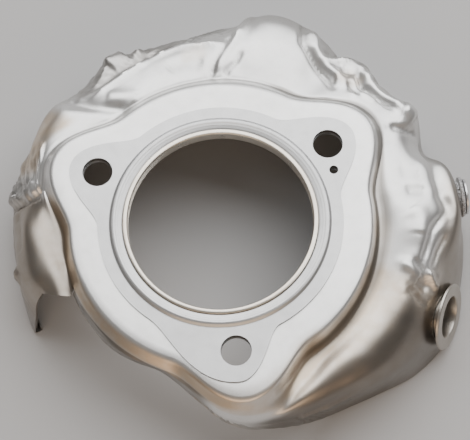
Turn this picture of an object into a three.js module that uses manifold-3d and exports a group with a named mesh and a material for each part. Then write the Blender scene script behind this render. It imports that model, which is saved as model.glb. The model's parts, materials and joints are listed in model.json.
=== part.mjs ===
// Exhaust flange gasket with a stamped heat shield, in millimetres, +Z up.
// Inside this file the bore axis is X = Y = 0 and the gasket's upper face is Z = 0.
// The whole assembly is moved at the end, so that it stands on Z = 0 with its box centred.
import * as THREE from 'three';
import * as BufferGeometryUtils from 'three/addons/utils/BufferGeometryUtils.js';
import Module from 'manifold-3d';

const wasm = await Module();
wasm.setup();

// ---- Driving dimensions ------------------------------------------------------------

const BORE_RADIUS = 35;
const BOLT_CIRCLE_RADIUS = 51;
const BOLT_HOLE_RADIUS = 5.75;
const BOLT_ANGLES = [30, 150, 270];
const PIN_HOLE_RADIUS = 1.7;
const PIN_HOLE_AT = [45, 14.7];

const SHEET = 0.5;              // thickness of each shield skin
const GAP = 0.3;                // clearance kept between neighbouring solids
const PLATE = 0.6;              // gasket facing plates
const CORE = 0.8;               // gasket core plate
const BODY_DEPTH = 2.9;         // outer face to inner face where the mat lies between the skins

// Levels of the clamped stack, from the upper face downwards.
const SKIN_TOP = -(PLATE + GAP);
const CORE_TOP = SKIN_TOP - 2 * (SHEET + GAP);
const BACK_TOP = CORE_TOP - CORE - GAP;
const STACK_BOTTOM = BACK_TOP - PLATE;

const BEAD_INNER = 37.2;        // raised sealing bead around the bore
const BEAD_OUTER = 41.9;
const BEAD_HEIGHT = 1.1;
const PLATE_INNER = 36.1;
const SKIN_INNER = 43.2;        // the skins stop just outside the bead

const GASKET_WAIST = 46.3;      // gasket outline between its lobes
const GASKET_LOBES = [
  { angle: 30, reach: 15.7, before: 26, after: 27 },
  { angle: 150, reach: 15.7, before: 26, after: 26 },
  { angle: 270, reach: 16.5, before: 42, after: 22 },
];
const PLATEAU_WAIST = 57.6;     // flat top of the shield, between its lobes
const PLATEAU_LOBES = [
  { angle: 30, reach: 12.6, before: 27, after: 27 },
  { angle: 150.5, reach: 12.6, before: 27, after: 27 },
  { angle: 271.5, reach: 12.6, before: 27, after: 27 },
];

const COLUMNS = 60;             // steps around the shield
// How the plateau's edge rolls down into the groove: distances from the edge, and first drop.
const EDGE_ROLL = { flatEnd: 2.2, shoulder: 0.4, drop: 0.7, slope: 0.8, foot: 2.6 };
const RIM = -42;                // level of the shield's lower rim

// The tunnel on the left ends in an open mouth. Between these angles only the sheet
// inside the groove carries on; `lean` turns the mouth's edge, in degrees per section point.
const MOUTH = { from: 195, to: 198, fade: 12, lean: [3, 1, -2, -1.5, 0, 1] };

// Decoupling bush on the right boss (axis +X) and port collar on the right skirt.
const BUSH = { x: 92.6, y: 5.3, z: -21.5, hole: 7 };
const PORT = { angle: 334, radius: 90.4, z: -28.6, rise: 17, hole: 9.8 };

// ---- The shield's surface ----------------------------------------------------------
// Sections around the bore axis. Each has its angle, the level of the groove around the
// plateau, and six [radius, level] points from the groove outwards and down to the rim.

const SECTIONS = [
  [0, -6.5, [67, -5], [78, -7], [86.5, -10], [92, -13.5], [93, -28], [95, RIM]],
  [10, -6, [67, -5], [77, -7], [85, -10], [91, -14], [92.3, -28], [94, RIM]],
  [18, -5.5, [70, -6], [77, -8], [83, -14], [86, -20], [88, -30], [90, RIM]],
  [27, -5, [75, -6], [80, -7], [87, -9], [91, -14], [91.5, -25], [92, RIM]],
  [35, -5, [75, -6], [79, -8], [84, -11], [87.5, -15], [89, -26], [90, RIM]],
  [45, -5, [67, -5], [74, -7], [83, -9], [89, -13], [91, -25], [92, RIM]],
  [52, -5, [63, -5.5], [72, -8], [80, -10], [87, -15], [90, -26], [91, RIM]],
  [60, -4.5, [62.4, -4.5], [71, -4.6], [81.5, -6.3], [90.5, -11.5], [95, -24], [96, RIM]],
  [72, -4, [62.2, -3.9], [70.5, -3.2], [82, -4.2], [92.5, -10], [98, -24], [99, RIM]],
  [80, -4, [62.2, -3.9], [70, -3.8], [79.5, -6.4], [87.5, -13.5], [93, -26], [95, RIM]],
  [90, -4.5, [62.3, -4.4], [70, -5], [79.5, -9], [86, -18], [90, -28], [92, RIM]],
  [105, -4.5, [62.3, -4.4], [69, -5.5], [77, -9], [84.5, -16.5], [88.5, -27], [90.5, RIM]],
  [115, -4.5, [62.3, -4.5], [68.5, -6], [77, -9], [86, -15.5], [90, -26], [91, RIM]],
  [126, -5, [63, -4.7], [69.5, -5.5], [77, -9], [83, -15], [86, -26], [88, RIM]],
  [135, -5, [67.5, -5.2], [73, -6.2], [80, -8.5], [86, -14], [88.5, -26], [89, RIM]],
  [145, -5.5, [74, -6], [78, -7.5], [82, -11], [85, -18], [86, -28], [86.5, RIM]],
  [155, -6, [74, -7], [76.5, -8.5], [80.5, -13], [84.5, -20], [85.5, -30], [85.5, RIM]],
  [163, -7, [68.8, -7], [72, -9], [77.5, -14], [83.3, -21.5], [85, -31], [86, RIM]],
  [172, -8, [64, -8], [70, -7.5], [76, -10], [80.5, -19], [82.5, -30], [84, RIM]],
  [180, -8.5, [63, -8.5], [68.5, -7], [75, -9.5], [80, -18], [81, -30], [82, RIM]],
  [188, -9, [62, -9], [67.5, -7.5], [74, -10], [79, -19], [80.5, -30], [81.5, RIM]],
  [195, -8, [62.5, -10], [67, -9.5], [72, -12], [76, -20], [78.5, -30], [81, RIM]],
  [198, -5.5, [60.7, -6.6], [60.9, -7.4], [61, -8.1], [61.1, -8.7], [61.2, -9.3], [61.2, -9.9]],
  [206, -4.7, [60.8, -5.6], [61.2, -6.3], [61.4, -7], [61.5, -7.6], [61.5, -8.2], [61.5, -8.8]],
  [222, -4.2, [61.2, -5], [61.8, -5.7], [62.1, -6.4], [62.3, -7.1], [62.4, -7.7], [62.4, -8.3]],
  [232, -4.2, [60.9, -5], [61.1, -5.7], [61.3, -6.4], [61.3, -7.1], [61.3, -7.7], [61.3, -8.3]],
  [241, -4.4, [60.5, -5.2], [60.6, -5.9], [60.6, -6.6], [60.5, -7.2], [60.4, -7.8], [60.4, -8.4]],
  [249, -4.6, [62, -5.5], [62.4, -6.2], [62.7, -6.9], [62.9, -7.5], [63, -8.1], [63, -8.7]],
  [257, -5, [66.9, -6.3], [67.6, -7.3], [68, -8.1], [68.2, -8.9], [68.3, -9.7], [68.4, -10.5]],
  [264, -5.2, [72, -7.2], [72.9, -8.9], [73.4, -10.4], [73.7, -11.8], [73.9, -13.2], [74, -14.6]],
  [270, -5.5, [74, -8], [75.3, -11], [75.7, -14], [75.9, -16], [76, -18], [76, -20]],
  [280, -7, [73.5, -10], [75.5, -12], [76.3, -16], [76.2, -21], [76, -26], [76, -31]],
  [288, -9, [68.5, -10], [73, -9], [76.5, -13], [77.5, -20], [77, -30], [76.5, -38]],
  [300, -10, [64, -10], [70, -8], [77, -12], [79.5, -20], [79, -30], [78.5, RIM]],
  [310, -10, [64, -10], [71, -8], [79, -12.5], [83, -21], [83, -31], [83, RIM]],
  [320, -9.5, [64.5, -9.5], [72, -8.5], [80, -13], [85.5, -22], [88, -31], [89.5, RIM]],
  [330, -9, [65, -9], [73, -9], [80, -13], [87, -22], [91, -31], [93.5, RIM]],
  [345, -7.5, [66, -7], [75, -8], [82, -14], [88, -20], [92, -30], [94, RIM]],
  [352, -7, [66.5, -6], [76, -7], [83.5, -12], [90, -16], [92.5, -29], [94.5, RIM]],
];

const radians = THREE.MathUtils.degToRad;

/** Radius of a lobed outline at an angle in degrees. */
function lobedRadius(waist, lobes, angle) {
  let radius = waist;
  for (const lobe of lobes) {
    const away = ((angle - lobe.angle + 540) % 360) - 180;
    const width = away < 0 ? lobe.before : lobe.after;
    if (Math.abs(away) < width) radius += lobe.reach * Math.cos((away / width) * Math.PI / 2) ** 2;
  }
  return radius;
}

/** Value of a smooth curve through (x0..x3, y0..y3), between x1 and x2. */
function hermite(x, xs, ys) {
  const step = xs[2] - xs[1];
  const t = (x - xs[1]) / step;
  const startSlope = (step * (ys[2] - ys[0])) / (xs[2] - xs[0]);
  const endSlope = (step * (ys[3] - ys[1])) / (xs[3] - xs[1]);
  return (2 * t ** 3 - 3 * t ** 2 + 1) * ys[1] + (t ** 3 - 2 * t ** 2 + t) * startSlope
    + (3 * t ** 2 - 2 * t ** 3) * ys[2] + (t ** 3 - t ** 2) * endSlope;
}

/** Control points [radius, level] of the shield's section at an angle, from bead to rim. */
function sectionAt(angle) {
  const turned = ((angle % 360) + 360) % 360;
  const count = SECTIONS.length;
  let after = SECTIONS.findIndex((section) => section[0] > turned);
  if (after < 0) after = count;
  const mouthSide = turned <= MOUTH.from ? MOUTH.from : MOUTH.to;
  const near = [after - 2, after - 1, after, after + 1].map((index) => {
    const own = SECTIONS[(index + count) % count];
    const at = own[0] + Math.floor(index / count) * 360;
    const beyondMouth = turned <= MOUTH.from ? at >= MOUTH.to && at < 360 : at <= MOUTH.from;
    const shape = beyondMouth ? SECTIONS.find((section) => section[0] === mouthSide) : own;
    return { at, groove: own[1], points: shape.slice(2) };
  });
  const angles = near.map((section) => section.at);
  const groove = hermite(turned, angles, near.map((section) => section.groove));
  const edge = lobedRadius(PLATEAU_WAIST, PLATEAU_LOBES, angle);
  const profile = [
    [SKIN_INNER, SKIN_TOP],
    [edge - EDGE_ROLL.flatEnd, SKIN_TOP],
    [edge - EDGE_ROLL.shoulder, SKIN_TOP - EDGE_ROLL.drop],
    [edge + EDGE_ROLL.slope, (SKIN_TOP + groove) / 2],
    [edge + EDGE_ROLL.foot, groove],
  ];
  for (let point = 0; point < 6; point++) {
    const [radius, level] = [0, 1].map((axis) =>
      hermite(turned, angles, near.map((section) => section.points[point][axis])));
    profile.push([radius, Math.max(level, RIM)]);
  }
  return profile;
}

const FIRST_OUTER_ROW = 5;      // first section point outside the groove

/** Grid of points on the shield's outer face: one column of section points per angle. */
function shieldGrid(angles) {
  return angles.map((angle) => {
    const fade = THREE.MathUtils.clamp(1 - (MOUTH.from - angle) / MOUTH.fade, 0, 1);
    return sectionAt(angle).map(([radius, level], row) => {
      const leans = row >= FIRST_OUTER_ROW && angle <= MOUTH.from;
      const lean = leans ? MOUTH.lean[row - FIRST_OUTER_ROW] * fade ** 2 : 0;
      const turn = radians(angle + lean);
      return new THREE.Vector3(radius * Math.cos(turn), radius * Math.sin(turn), level);
    });
  });
}

/** True where two neighbouring columns have the open mouth between them. */
function spansMouth(angles, column) {
  return angles[column] === MOUTH.from;
}

/** Outward directions at every grid point, smoothed so that offset layers never fold. */
function shieldNormals(grid, angles) {
  const columns = grid.length;
  let normals = grid.map((points, column) => points.map((point, row) => {
    const outer = row >= FIRST_OUTER_ROW;
    const before = outer && spansMouth(angles, (column + columns - 1) % columns) ? column : column - 1;
    const after = outer && spansMouth(angles, column) ? column : column + 1;
    const left = grid[(before + columns) % columns][row];
    const right = grid[after % columns][row];
    const inner = points[Math.max(row - 1, 0)];
    const rim = points[Math.min(row + 1, points.length - 1)];
    return new THREE.Vector3().subVectors(rim, inner)
      .cross(new THREE.Vector3().subVectors(right, left)).normalize();
  }));
  for (let pass = 0; pass < 2; pass++) {
    normals = normals.map((column, index) => column.map((normal, row) => {
      const sum = normal.clone().multiplyScalar(2);
      sum.add(normals[(index + 1) % columns][row]).add(normals[(index + columns - 1) % columns][row]);
      sum.add(column[Math.max(row - 1, 0)]).add(column[Math.min(row + 1, column.length - 1)]);
      return sum.normalize();
    }));
  }
  for (const column of normals) column.at(-1).setZ(0).normalize();    // every layer ends at the rim
  return normals;
}

const shieldAngles = Array.from({ length: COLUMNS }, (_, index) => (index * 360) / COLUMNS)
  .filter((angle) => Math.abs(angle - MOUTH.from) > 2 && Math.abs(angle - MOUTH.to) > 2)
  .concat([MOUTH.from, MOUTH.to]).sort((one, other) => one - other);
const shieldPoints = shieldGrid(shieldAngles);
const shieldDirections = shieldNormals(shieldPoints, shieldAngles);

/**
 * Closed sheet that follows the shield. `depthAt(row)` gives the depth below the outer face
 * of the sheet's upper side, and the sheet is `thickness` thick. Rows before firstRow and
 * after lastRow are left out.
 */
function shieldSheet(depthAt, thickness, firstRow = 0, lastRow = FIRST_OUTER_ROW + 5) {
  const columns = shieldAngles.length;
  const rows = lastRow - firstRow + 1;
  const positions = [];
  for (const extra of [0, thickness]) {
    for (let column = 0; column < columns; column++) {
      for (let row = firstRow; row <= lastRow; row++) {
        const direction = shieldDirections[column][row];
        const point = shieldPoints[column][row].clone().addScaledVector(direction, -depthAt(row) - extra);
        positions.push(point.x, point.y, point.z);
      }
    }
  }
  const lower = columns * rows;
  const corner = (column, row) => (column % columns) * rows + (row - firstRow);
  const indices = [];
  const quad = (a, b, c, d) => indices.push(a, b, c, a, c, d);
  const quadFromBelow = (a, b, c, d) => indices.push(a, c, b, a, d, c);
  const edges = new Map();
  for (let column = 0; column < columns; column++) {
    for (let row = firstRow; row < lastRow; row++) {
      if (row >= FIRST_OUTER_ROW - 1 && spansMouth(shieldAngles, column)) continue;
      const ring = [corner(column, row), corner(column, row + 1),
        corner(column + 1, row + 1), corner(column + 1, row)];
      quad(...ring);
      quadFromBelow(...ring.map((index) => index + lower));
      ring.forEach((start, side) => {
        const end = ring[(side + 1) % 4];
        if (!edges.delete(`${end} ${start}`)) edges.set(`${start} ${end}`, [start, end]);
      });
    }
  }
  for (const [start, end] of edges.values()) quad(end, start, start + lower, end + lower);
  const geometry = new THREE.BufferGeometry();
  geometry.setAttribute('position', new THREE.Float32BufferAttribute(positions, 3));
  geometry.setIndex(indices);
  return geometry;
}

// ---- Solids ------------------------------------------------------------------------

function toManifold(geometry) {
  const bare = geometry.clone();
  bare.deleteAttribute('normal');
  bare.deleteAttribute('uv');
  const merged = BufferGeometryUtils.mergeVertices(bare, 1e-4);
  return new wasm.Manifold(new wasm.Mesh({
    numProp: 3,
    vertProperties: new Float32Array(merged.attributes.position.array),
    triVerts: new Uint32Array(merged.index.array),
  }));
}

function toGeometry(solid) {
  const mesh = solid.getMesh();
  const geometry = new THREE.BufferGeometry();
  geometry.setAttribute('position', new THREE.BufferAttribute(mesh.vertProperties, 3));
  geometry.setIndex(new THREE.BufferAttribute(mesh.triVerts, 1));
  return geometry;
}

/** Solid of revolution about Z. The profile is a closed loop of [radius, level]. */
function ring(profile, segments = 40) {
  const loop = [...profile, profile[0]].map(([radius, level]) => new THREE.Vector2(radius, level));
  return new THREE.LatheGeometry(loop, segments).rotateX(Math.PI / 2);
}

/** Rectangular ring about Z, between two radii and two levels. */
function washer(inner, outer, bottom, top, segments = 40) {
  return ring([[inner, bottom], [outer, bottom], [outer, top], [inner, top]], segments);
}

function cylinderAlongZ(radius, bottom, top) {
  const height = top - bottom;
  return new THREE.CylinderGeometry(radius, radius, height, 20)
    .rotateX(Math.PI / 2).translate(0, 0, bottom + height / 2);
}

/** Cutters for the three bolt holes and the pin hole through the whole stack. */
function holeCutters(clearance) {
  const reach = 3;
  const cutters = BOLT_ANGLES.map((angle) => {
    const x = BOLT_CIRCLE_RADIUS * Math.cos(radians(angle));
    const y = BOLT_CIRCLE_RADIUS * Math.sin(radians(angle));
    return cylinderAlongZ(BOLT_HOLE_RADIUS + clearance, STACK_BOTTOM - reach, reach).translate(x, y, 0);
  });
  cutters.push(cylinderAlongZ(PIN_HOLE_RADIUS + clearance, STACK_BOTTOM - reach, reach)
    .translate(PIN_HOLE_AT[0], PIN_HOLE_AT[1], 0));
  return cutters;
}

function cut(geometry, cutters) {
  let solid = toManifold(geometry);
  for (const cutter of cutters) solid = solid.subtract(toManifold(cutter));
  return toGeometry(solid);
}

/** Flat plate with the gasket's lobed outline, shrunk by `inset`, and a round middle hole. */
function lobedPlate(innerRadius, inset, bottom, thickness) {
  const outline = [];
  const steps = 72;
  for (let step = 0; step < steps; step++) {
    const angle = (step * 360) / steps;
    const radius = lobedRadius(GASKET_WAIST, GASKET_LOBES, angle) - inset;
    outline.push(new THREE.Vector2(radius * Math.cos(radians(angle)), radius * Math.sin(radians(angle))));
  }
  const shape = new THREE.Shape(outline);
  shape.holes.push(new THREE.Path().absarc(0, 0, innerRadius, 0, 2 * Math.PI, true));
  return new THREE.ExtrudeGeometry(shape, { depth: thickness, bevelEnabled: false, curveSegments: 24 })
    .translate(0, 0, bottom);
}

/** Pressed sheet ring with a hollow bead, lying on Z = 0 with the bead upwards. */
function beadRing() {
  const crown = 40.3;
  return ring([
    [PLATE_INNER, -PLATE], [BEAD_INNER, -PLATE], [BEAD_INNER + 1, BEAD_HEIGHT - PLATE],
    [crown, BEAD_HEIGHT - PLATE], [BEAD_OUTER, -PLATE], [BEAD_OUTER + 0.6, -PLATE],
    [BEAD_OUTER + 0.6, 0], [BEAD_OUTER, 0], [crown, BEAD_HEIGHT],
    [BEAD_INNER + 0.8, BEAD_HEIGHT], [BEAD_INNER - 0.2, 0], [PLATE_INNER, 0],
  ]);
}

/** Gasket facing plate with its sealing bead, upper side at Z = 0. */
function beadedPlate(inset) {
  const flat = toManifold(lobedPlate(BEAD_OUTER + 0.3, inset, -PLATE, PLATE));
  return cut(toGeometry(flat.add(toManifold(beadRing()))), holeCutters(0));
}

/** The facing plate under the stack: a mirror image, with its bead downwards. */
function gasketBottomPlate() {
  const geometry = beadedPlate(0.5).scale(1, 1, -1).translate(0, 0, STACK_BOTTOM);
  geometry.index.array.reverse();
  return geometry;
}

/** Folded ring that lines the bore and grips the plates between its two lips. */
function boreEyelet() {
  const lip = 0.5;
  const reach = 36.9;
  const top = GAP + lip;
  const bottom = STACK_BOTTOM - GAP - lip;
  const web = BORE_RADIUS + lip;
  return ring([
    [BORE_RADIUS, bottom + 0.3], [BORE_RADIUS + 0.3, bottom], [reach, bottom], [reach, bottom + lip],
    [web, bottom + lip], [web, top - lip], [reach, top - lip], [reach, top],
    [BORE_RADIUS + 0.3, top], [BORE_RADIUS, top - 0.3],
  ]);
}

// ---- Shield layers -----------------------------------------------------------------

function bushCutter() {
  return new THREE.CylinderGeometry(BUSH.hole, BUSH.hole, 14, 28).rotateZ(Math.PI / 2)
    .translate(BUSH.x, BUSH.y, BUSH.z);
}

/** Turns a geometry made about +Z, with Z = 0 on the sheet, onto the port's axis. */
function ontoPort(geometry) {
  return geometry.rotateY(radians(90 - PORT.rise)).rotateZ(radians(PORT.angle)).translate(
    PORT.radius * Math.cos(radians(PORT.angle)), PORT.radius * Math.sin(radians(PORT.angle)), PORT.z);
}

function shieldCutters() {
  return [bushCutter(), ontoPort(cylinderAlongZ(PORT.hole, -8, 8))];
}

function outerSkin() {
  return cut(shieldSheet(() => 0, SHEET), [...holeCutters(0.5), ...shieldCutters()]);
}

/** The inner skin lies close under the outer one where clamped, and apart around the mat. */
function innerSkin() {
  const clamped = SHEET + GAP;
  const apart = BODY_DEPTH - SHEET;
  const depthAt = (row) => clamped + (apart - clamped) * THREE.MathUtils.clamp((row - 4) / 2, 0, 1);
  return cut(shieldSheet(depthAt, SHEET), [...holeCutters(0.5), ...shieldCutters()]);
}

function insulationMat() {
  const thickness = BODY_DEPTH - 2 * SHEET - 2 * GAP;
  return cut(shieldSheet(() => SHEET + GAP, thickness, 6, 9), shieldCutters());
}

// ---- Decoupling bush and port collar -----------------------------------------------

/** Turns a geometry made about +Z, with Z = 0 on the sheet, onto the bush's axis. */
function ontoBush(geometry) {
  return geometry.rotateY(Math.PI / 2).translate(BUSH.x, BUSH.y, BUSH.z);
}

function meshCushion() {
  return ontoBush(ring([
    [4.8, -7], [7.6, -7], [7.6, -5.4], [6.5, -5.4], [6.5, 0.6], [8.4, 0.6], [8.4, 2], [4.8, 2],
  ], 24));
}

function bushSleeve() {
  return ontoBush(ring([
    [3.5, -9.2], [4.4, -9.2], [4.4, 2.4], [7, 2.4], [7, 3.6], [3.5, 3.6],
  ], 24));
}

function bushWasher() {
  return ontoBush(washer(4.7, 7, -8.7, -7.5, 24));
}

function portCollar() {
  return ontoPort(ring([
    [8, -6.8], [11, -6.8], [11, -6], [9, -6], [9, 0.6], [13, 0.6], [13, 1.5], [12.6, 1.9],
    [8.6, 1.9], [8, 1.3],
  ], 32));
}

// ---- Assembly ----------------------------------------------------------------------

const assembly = new THREE.Group();

function add(name, geometry, color, roughness, metalness) {
  const mesh = new THREE.Mesh(geometry, new THREE.MeshStandardMaterial({ color, roughness, metalness }));
  mesh.name = name;
  assembly.add(mesh);
}

add('gasket_top_plate', beadedPlate(0), 0xc9cacb, 0.42, 0.9);
add('gasket_core_plate', cut(lobedPlate(PLATE_INNER, 0.3, CORE_TOP - CORE, CORE), holeCutters(0.2)),
  0x8d8f91, 0.5, 0.9);
add('gasket_bottom_plate', gasketBottomPlate(), 0xc4c5c6, 0.42, 0.9);
add('bore_eyelet', boreEyelet(), 0xd8d2c8, 0.35, 0.95);
add('upper_seal_ring', washer(38.6, 39.9, -0.4, 0.2), 0x3c3c3e, 0.85, 0.1);
add('lower_seal_ring', washer(38.6, 39.9, STACK_BOTTOM - 0.2, STACK_BOTTOM + 0.4), 0x3c3c3e, 0.85, 0.1);
add('shield_outer_skin', outerSkin(), 0xdcdcda, 0.38, 0.9);
add('insulation_mat', insulationMat(), 0xb9a88a, 0.95, 0);
add('shield_inner_skin', innerSkin(), 0xb8b4ac, 0.45, 0.9);
add('mesh_cushion', meshCushion(), 0x9b9c9e, 0.7, 0.85);
add('bush_sleeve', bushSleeve(), 0xcfd0d2, 0.3, 0.95);
add('bush_washer', bushWasher(), 0xb4b5b7, 0.4, 0.95);
add('port_collar', portCollar(), 0xc8c2b8, 0.35, 0.95);

const box = new THREE.Box3().setFromObject(assembly);
assembly.position.set(-(box.min.x + box.max.x) / 2, -(box.min.y + box.max.y) / 2, -box.min.z);

export default assembly;
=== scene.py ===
"""Exhaust flange gasket with a stamped heat shield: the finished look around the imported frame.

Lengths of the pieces are in millimetres, measured from the bore axis at the level of the gasket's
upper face, and Place turns them into the frame's metres. Studio and its lights are in metres.
"""

import json
import logging
import math
from dataclasses import dataclass, field
from enum import Enum
from itertools import pairwise
from typing import Any, Callable, Sequence

import bpy
import numpy as np
from mathutils import Matrix, Vector, noise


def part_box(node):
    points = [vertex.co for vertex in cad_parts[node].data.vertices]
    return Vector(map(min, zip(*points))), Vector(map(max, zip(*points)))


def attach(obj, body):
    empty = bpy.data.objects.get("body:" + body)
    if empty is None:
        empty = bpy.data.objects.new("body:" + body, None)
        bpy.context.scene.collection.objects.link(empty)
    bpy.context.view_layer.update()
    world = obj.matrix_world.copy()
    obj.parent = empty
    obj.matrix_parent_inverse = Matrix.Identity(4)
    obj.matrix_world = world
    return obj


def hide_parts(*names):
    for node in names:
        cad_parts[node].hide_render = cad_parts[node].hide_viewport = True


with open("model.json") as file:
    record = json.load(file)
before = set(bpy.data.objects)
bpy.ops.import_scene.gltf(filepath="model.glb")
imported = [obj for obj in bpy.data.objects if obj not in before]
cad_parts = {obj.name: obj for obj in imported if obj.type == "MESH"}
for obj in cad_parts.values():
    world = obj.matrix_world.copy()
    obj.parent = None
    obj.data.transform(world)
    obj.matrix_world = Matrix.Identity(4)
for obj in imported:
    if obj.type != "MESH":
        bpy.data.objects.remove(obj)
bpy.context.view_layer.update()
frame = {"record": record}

LOG = logging.getLogger("heat_shield")
MM = 0.001

Profile = Sequence[tuple[float, float]]


# ---- Shader graphs -----------------------------------------------------------------


class Num:
    """A number inside a shader. Python's operators on it add the Math nodes."""

    def __init__(self, graph: "Graph", socket: bpy.types.NodeSocket) -> None:
        """Keeps the graph that the socket belongs to."""
        self.graph = graph
        self.socket = socket

    def _math(self, operation: str, *terms: Any, clamp: bool = False) -> "Num":
        """Adds one Math node.

        Args:
            operation: The node's operation.
            terms: Its inputs in order, sockets or plain numbers.
            clamp: Whether the result is held between 0 and 1.

        Returns:
            The node's result.
        """
        node = self.graph.node(
            "ShaderNodeMath",
            {"operation": operation, "use_clamp": clamp},
            dict(enumerate(terms)),
        )
        return Num(self.graph, node.outputs[0])

    def __add__(self, other: Any) -> "Num":
        """Sum."""
        return self._math("ADD", self, other)

    def __radd__(self, other: Any) -> "Num":
        """Sum, from the right."""
        return self._math("ADD", other, self)

    def __sub__(self, other: Any) -> "Num":
        """Difference."""
        return self._math("SUBTRACT", self, other)

    def __rsub__(self, other: Any) -> "Num":
        """Difference, from the right."""
        return self._math("SUBTRACT", other, self)

    def __mul__(self, other: Any) -> "Num":
        """Product."""
        return self._math("MULTIPLY", self, other)

    def __rmul__(self, other: Any) -> "Num":
        """Product, from the right."""
        return self._math("MULTIPLY", other, self)

    def clamped(self) -> "Num":
        """The value held between 0 and 1."""
        return self._math("ADD", self, 0.0, clamp=True)

    def absolute(self) -> "Num":
        """The value without its sign."""
        return self._math("ABSOLUTE", self)

    def smooth(self, low: float, high: float) -> "Num":
        """A smooth step.

        Args:
            low: Where the step starts, at 0.
            high: Where it ends, at 1.

        Returns:
            The stepped value.
        """
        node = self.graph.node(
            "ShaderNodeMapRange",
            {"interpolation_type": "SMOOTHSTEP"},
            {"Value": self, "From Min": low, "From Max": high},
        )
        return Num(self.graph, node.outputs["Result"])


class Graph:
    """A material's node tree, with one method that adds any node."""

    def __init__(self, name: str) -> None:
        """Starts an empty material with its output node."""
        self.material = bpy.data.materials.new(name)
        self.material.use_nodes = True
        self.tree = self.material.node_tree
        self.tree.nodes.clear()
        self.output = self.node("ShaderNodeOutputMaterial")
        self.place = self.node("ShaderNodeTexCoord").outputs["Object"]

    def node(
        self,
        kind: str,
        settings: dict[str, Any] | None = None,
        values: dict[Any, Any] | None = None,
    ) -> bpy.types.Node:
        """Adds a node.

        Args:
            kind: The node's type.
            settings: Its properties, set first.
            values: Its sockets by name or number, each a plain value, a socket or a Num.

        Returns:
            The node.
        """
        made = self.tree.nodes.new(kind)
        for key, value in (settings or {}).items():
            setattr(made, key, value)
        for key, value in (values or {}).items():
            source = value.socket if isinstance(value, Num) else value
            if isinstance(source, bpy.types.NodeSocket):
                self.tree.links.new(source, made.inputs[key])
            else:
                made.inputs[key].default_value = source
        return made

    def stretched(self, scale: tuple[float, float, float]) -> bpy.types.NodeSocket:
        """Object coordinates scaled along each axis, for a pattern with a direction."""
        values = {"Vector": self.place, "Scale": scale}
        return self.node("ShaderNodeMapping", None, values).outputs[0]

    def noise(
        self,
        scale: float,
        detail: float = 2.0,
        roughness: float = 0.5,
        vector: bpy.types.NodeSocket | None = None,
    ) -> Num:
        """Adds a noise pattern.

        Args:
            scale: Cells per metre.
            detail: Octaves.
            roughness: Strength of each further octave.
            vector: Where to read it, or None for object coordinates.

        Returns:
            The pattern, from 0 to 1.
        """
        made = self.node(
            "ShaderNodeTexNoise",
            None,
            {
                "Vector": vector or self.place,
                "Scale": scale,
                "Detail": detail,
                "Roughness": roughness,
            },
        )
        return Num(self, made.outputs[0])

    def attribute(self, name: str) -> Num:
        """A number stored on the mesh's points."""
        return Num(self, self.node("ShaderNodeAttribute", {"attribute_name": name}).outputs["Fac"])

    def blend(self, amount: Any, first: Any, second: Any) -> bpy.types.NodeSocket:
        """Mixes two colours.

        Args:
            amount: Share of the second colour.
            first: Colour at 0, as a socket or red, green and blue.
            second: Colour at 1.

        Returns:
            The mixed colour.
        """
        sources = [
            (*colour, 1.0) if isinstance(colour, tuple) else colour for colour in (first, second)
        ]
        made = self.node(
            "ShaderNodeMix",
            {"data_type": "RGBA", "clamp_factor": True},
            {0: amount, 6: sources[0], 7: sources[1]},
        )
        return made.outputs[2]

    def bump(self, height: Num, depth: float) -> bpy.types.NodeSocket:
        """Turns a height pattern into a normal.

        Args:
            height: The pattern, from 0 to 1.
            depth: Height of the whole range, in metres.

        Returns:
            The normal.
        """
        return self.node("ShaderNodeBump", None, {"Height": height, "Distance": depth}).outputs[0]

    def finish(self, values: dict[str, Any]) -> bpy.types.Material:
        """Ends the graph in a Principled shader.

        Args:
            values: The shader's sockets.

        Returns:
            The material.
        """
        shader = self.node("ShaderNodeBsdfPrincipled", None, values)
        self.tree.links.new(shader.outputs[0], self.output.inputs["Surface"])
        return self.material


# ---- Finishes ----------------------------------------------------------------------

Colour = tuple[float, float, float]


@dataclass(frozen=True)
class Finish:
    """Plain matt paint, and the base of every other finish."""

    name: str
    colour: Colour

    def sockets(self, graph: Graph) -> dict[str, Any]:
        """What feeds the shader's sockets; the other finishes give their own."""
        return {"Base Color": (*self.colour, 1.0), "Roughness": 0.85}

    def material(self) -> bpy.types.Material:
        """Builds the material.

        Returns:
            The finished material.
        """
        graph = Graph(self.name)
        return graph.finish(self.sockets(graph))


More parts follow.
